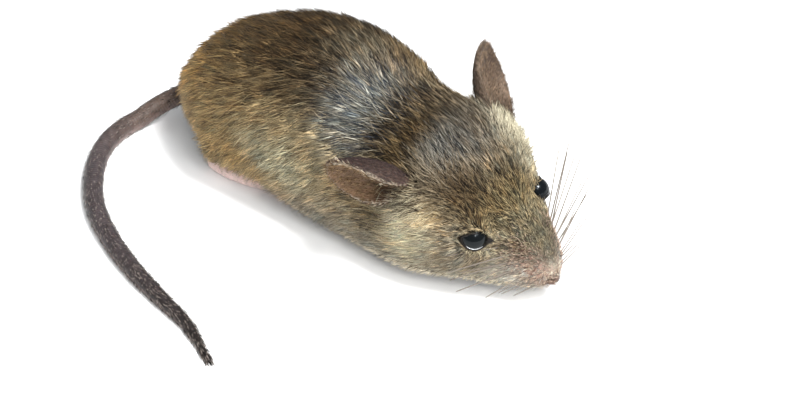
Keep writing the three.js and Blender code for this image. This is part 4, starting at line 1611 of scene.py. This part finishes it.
is_dark = rng.random(count) < BRISTLES["dark_share"]
tints = np.where(is_dark[:, None], linear(BRISTLES["dark"]), linear(BRISTLES["pale"]))
width = BRISTLES["width"] * MM * rng.uniform(0.7, 1.2, count)
coat_triangles += grow("tail_bristles", tail_roots, middle, tip, width, tints, "tail_skin")

# %% Hairs on the feet
TOE_HAIRS = {"density": 14, "colour": "#d9cbb8", "width": 0.05}
on_top = rise(skin_normals[:, 2], -0.1, 0.5)
foot_roots = strew(rise(part_share["foot"], 0.6, 0.95) * TOE_HAIRS["density"] * on_top)
count = len(foot_roots["eye"])
flow = np.tile([0.0, -1.0, -0.15], (count, 1)) + rng.normal(0, 0.2, (count, 3))
reach = rng.uniform(0.4, 0.7, count) * MM
height = rng.uniform(0.05, 0.14, count) * MM
middle, tip = stand_out(foot_roots, settle(flow, foot_roots), reach, height)
tints = np.tile(linear(TOE_HAIRS["colour"]), (count, 1)) * np.exp(rng.normal(0, 0.2, count))[:, None]
width = np.full(count, TOE_HAIRS["width"] * MM)
coat_triangles += grow("foot_hairs", foot_roots, middle, tip, width, tints, "bare_skin")
print("coat triangles:", coat_triangles)

# %% [markdown]
# ## Whiskers and claws
# Whiskers stand in rows on the side of the muzzle, long ones behind and short ones in front. Claws are small
# hooks of pale horn. Both could be cones, but a tube along a curve bends as well as it thins. The whiskers
# are a little thicker than in life, so that they show.

# %% Horn for whiskers and claws
def horn_material(name, code):
    """Keratin: clear horn with a low gloss, pale where it is thin."""
    inputs = {"Base Color": opaque(code), "Roughness": 0.35, "IOR": 1.54, "Specular IOR Level": 0.4}
    return material(name, inputs)[0]


def sweep(name, start, heading, length, droop, radius):
    """A tapering hair or claw from a root, along a heading, bending by a droop over its length."""
    share = np.linspace(0, 1, 12)[:, None]
    line = start + unit(heading) * length * share + np.array(droop) * length * share**2
    return tube(name, line, radius * (1 - 0.45 * share[:, 0]))


# %% Whiskers
WHISKER_LIE = {
    "left": {
        "back": (1.04, 0.5, 0.36),
        "front": (1.0, -0.1, 0.4),
        "droop": (0.05, 0.03, -0.03),
        "length": 15.5,
    },
    "right": {
        "back": (-0.72, 0.66, -0.12),
        "front": (-0.75, 0.5, -0.42),
        "droop": (0.05, 0.08, -0.1),
        "length": 9.5,
    },
}
WHISKER_RADIUS = 0.115 * MM
WHISKERS_IN_ROW = 5
WHISKER = horn_material("whisker horn", "#665e55")
for side, sign in SIDES.items():
    hairs = []
    lie = WHISKER_LIE[side]
    for row in (-1, 0, 1):
        for k in range(WHISKERS_IN_ROW):
            share = k / (WHISKERS_IN_ROW - 1)
            spot = (PAD_BACK * (1 - share) + PAD_FRONT * share + ROW_STEP * row) * [sign, 1, 1] * MM
            start = skin_points[skin_tree.find(spot)[1]]
            back, front = np.array(lie["back"]), np.array(lie["front"])
            heading = unit(back * (1 - share) + front * share) + rng.normal(0, 0.08, 3) + [0, 0, 0.1 * row]
            short = (1 - 0.62 * share) * rng.uniform(0.7, 1.0)
            radius = WHISKER_RADIUS * (0.6 + 0.4 * short)
            hairs.append(sweep("whisker", start, heading, lie["length"] * short * MM, lie["droop"], radius))
    whiskers = join(f"whiskers_{side}", hairs)
    whiskers.data.materials.append(WHISKER)
    finish(whiskers, "coat")
print("whiskers in")

# %% Claws
FEET = {
    "hind": {"root": (5.2, 2.2), "wide": 3.5, "toe": 4.4, "toe_wide": 1.1, "toes": 5, "claw": 1.1},
    "fore": {"root": (3.8, -23.0), "wide": 2.6, "toe": 2.6, "toe_wide": 0.9, "toes": 4, "claw": 0.8},
}
CLAW_RADIUS = 0.19 * MM
CLAW_DROOP = (0, 0, -0.55)
CLAW = horn_material("claw horn", "#cdbfae")
for name, foot in FEET.items():
    for side, sign in SIDES.items():
        hooks = []
        for i in range(foot["toes"]):
            fan = 2 * i / (foot["toes"] - 1) - 1
            x = foot["root"][0] + fan * (foot["wide"] - foot["toe_wide"]) / 2 + 0.8 * fan
            y = foot["root"][1] - foot["toe"] * (1 - 0.22 * fan * fan)
            start = np.array([x * sign, y + 0.15, foot["toe_wide"] * 0.6]) * MM
            heading = np.array([0.2 * fan * sign, -1.0, 0.25])
            hooks.append(sweep("claw", start, heading, foot["claw"] * MM, CLAW_DROOP, CLAW_RADIUS))
        claws = join(f"claws_{name}_{side}", hooks)
        claws.data.shade_smooth()
        claws.data.materials.append(CLAW)
        finish(claws, "bare_skin")
print("claws in")

# %% [markdown]
# ## Floor and light
# The mouse sits on a white painted board. A soft even light from all round keeps the shadows pale, and a
# soft lamp nearly overhead gives the shadow under the belly. A small lamp in front is there for the eyes to
# mirror. The wide fill lamp lifts the face and is kept out of mirrors, so that it does not veil the eyes.

# %% Floor
FLOOR_HALF = 1.5
bm = bmesh.new()
bmesh.ops.create_grid(bm, x_segments=1, y_segments=1, size=FLOOR_HALF)
floor = from_bmesh("floor", bm)
floor_finish, _, _ = material("painted board", {"Base Color": opaque("#f2f2f2"), "Roughness": 0.6})
floor.data.materials.append(floor_finish)
print("floor:", 2 * FLOOR_HALF, "m square")

# %% Light
SKY = {"colour": (0.95, 0.98, 1.0, 1.0), "strength": 0.54}
# Bearing and height in degrees, distance and size in metres, watts.
LAMPS = {
    "overhead": (-5, 62, 0.6, 0.15, 5.8),
    "catchlight": (-30, 49, 0.6, 0.05, 0.5),
    "fill": (-30, 38, 0.6, 0.3, 3.3),
}
world = bpy.data.worlds.new("studio")
bpy.context.scene.world = world
world.use_nodes = True
background = world.node_tree.nodes["Background"]
background.inputs["Color"].default_value = SKY["colour"]
background.inputs["Strength"].default_value = SKY["strength"]


def softbox(name, bearing, height, distance, size, watts):
    """A square soft lamp that points at the mouse."""
    lamp = bpy.data.lights.new(name, "AREA")
    lamp.size = size
    lamp.energy = watts
    piece = bpy.data.objects.new(name, lamp)
    bpy.context.scene.collection.objects.link(piece)
    aim(piece, target + direction(bearing, height) * distance, target)
    return piece


lamps = {name: softbox(name, *values) for name, values in LAMPS.items()}
lamps["fill"].visible_glossy = False
bpy.context.scene.view_settings.view_transform = "Standard"
print("lamps:", list(lamps))
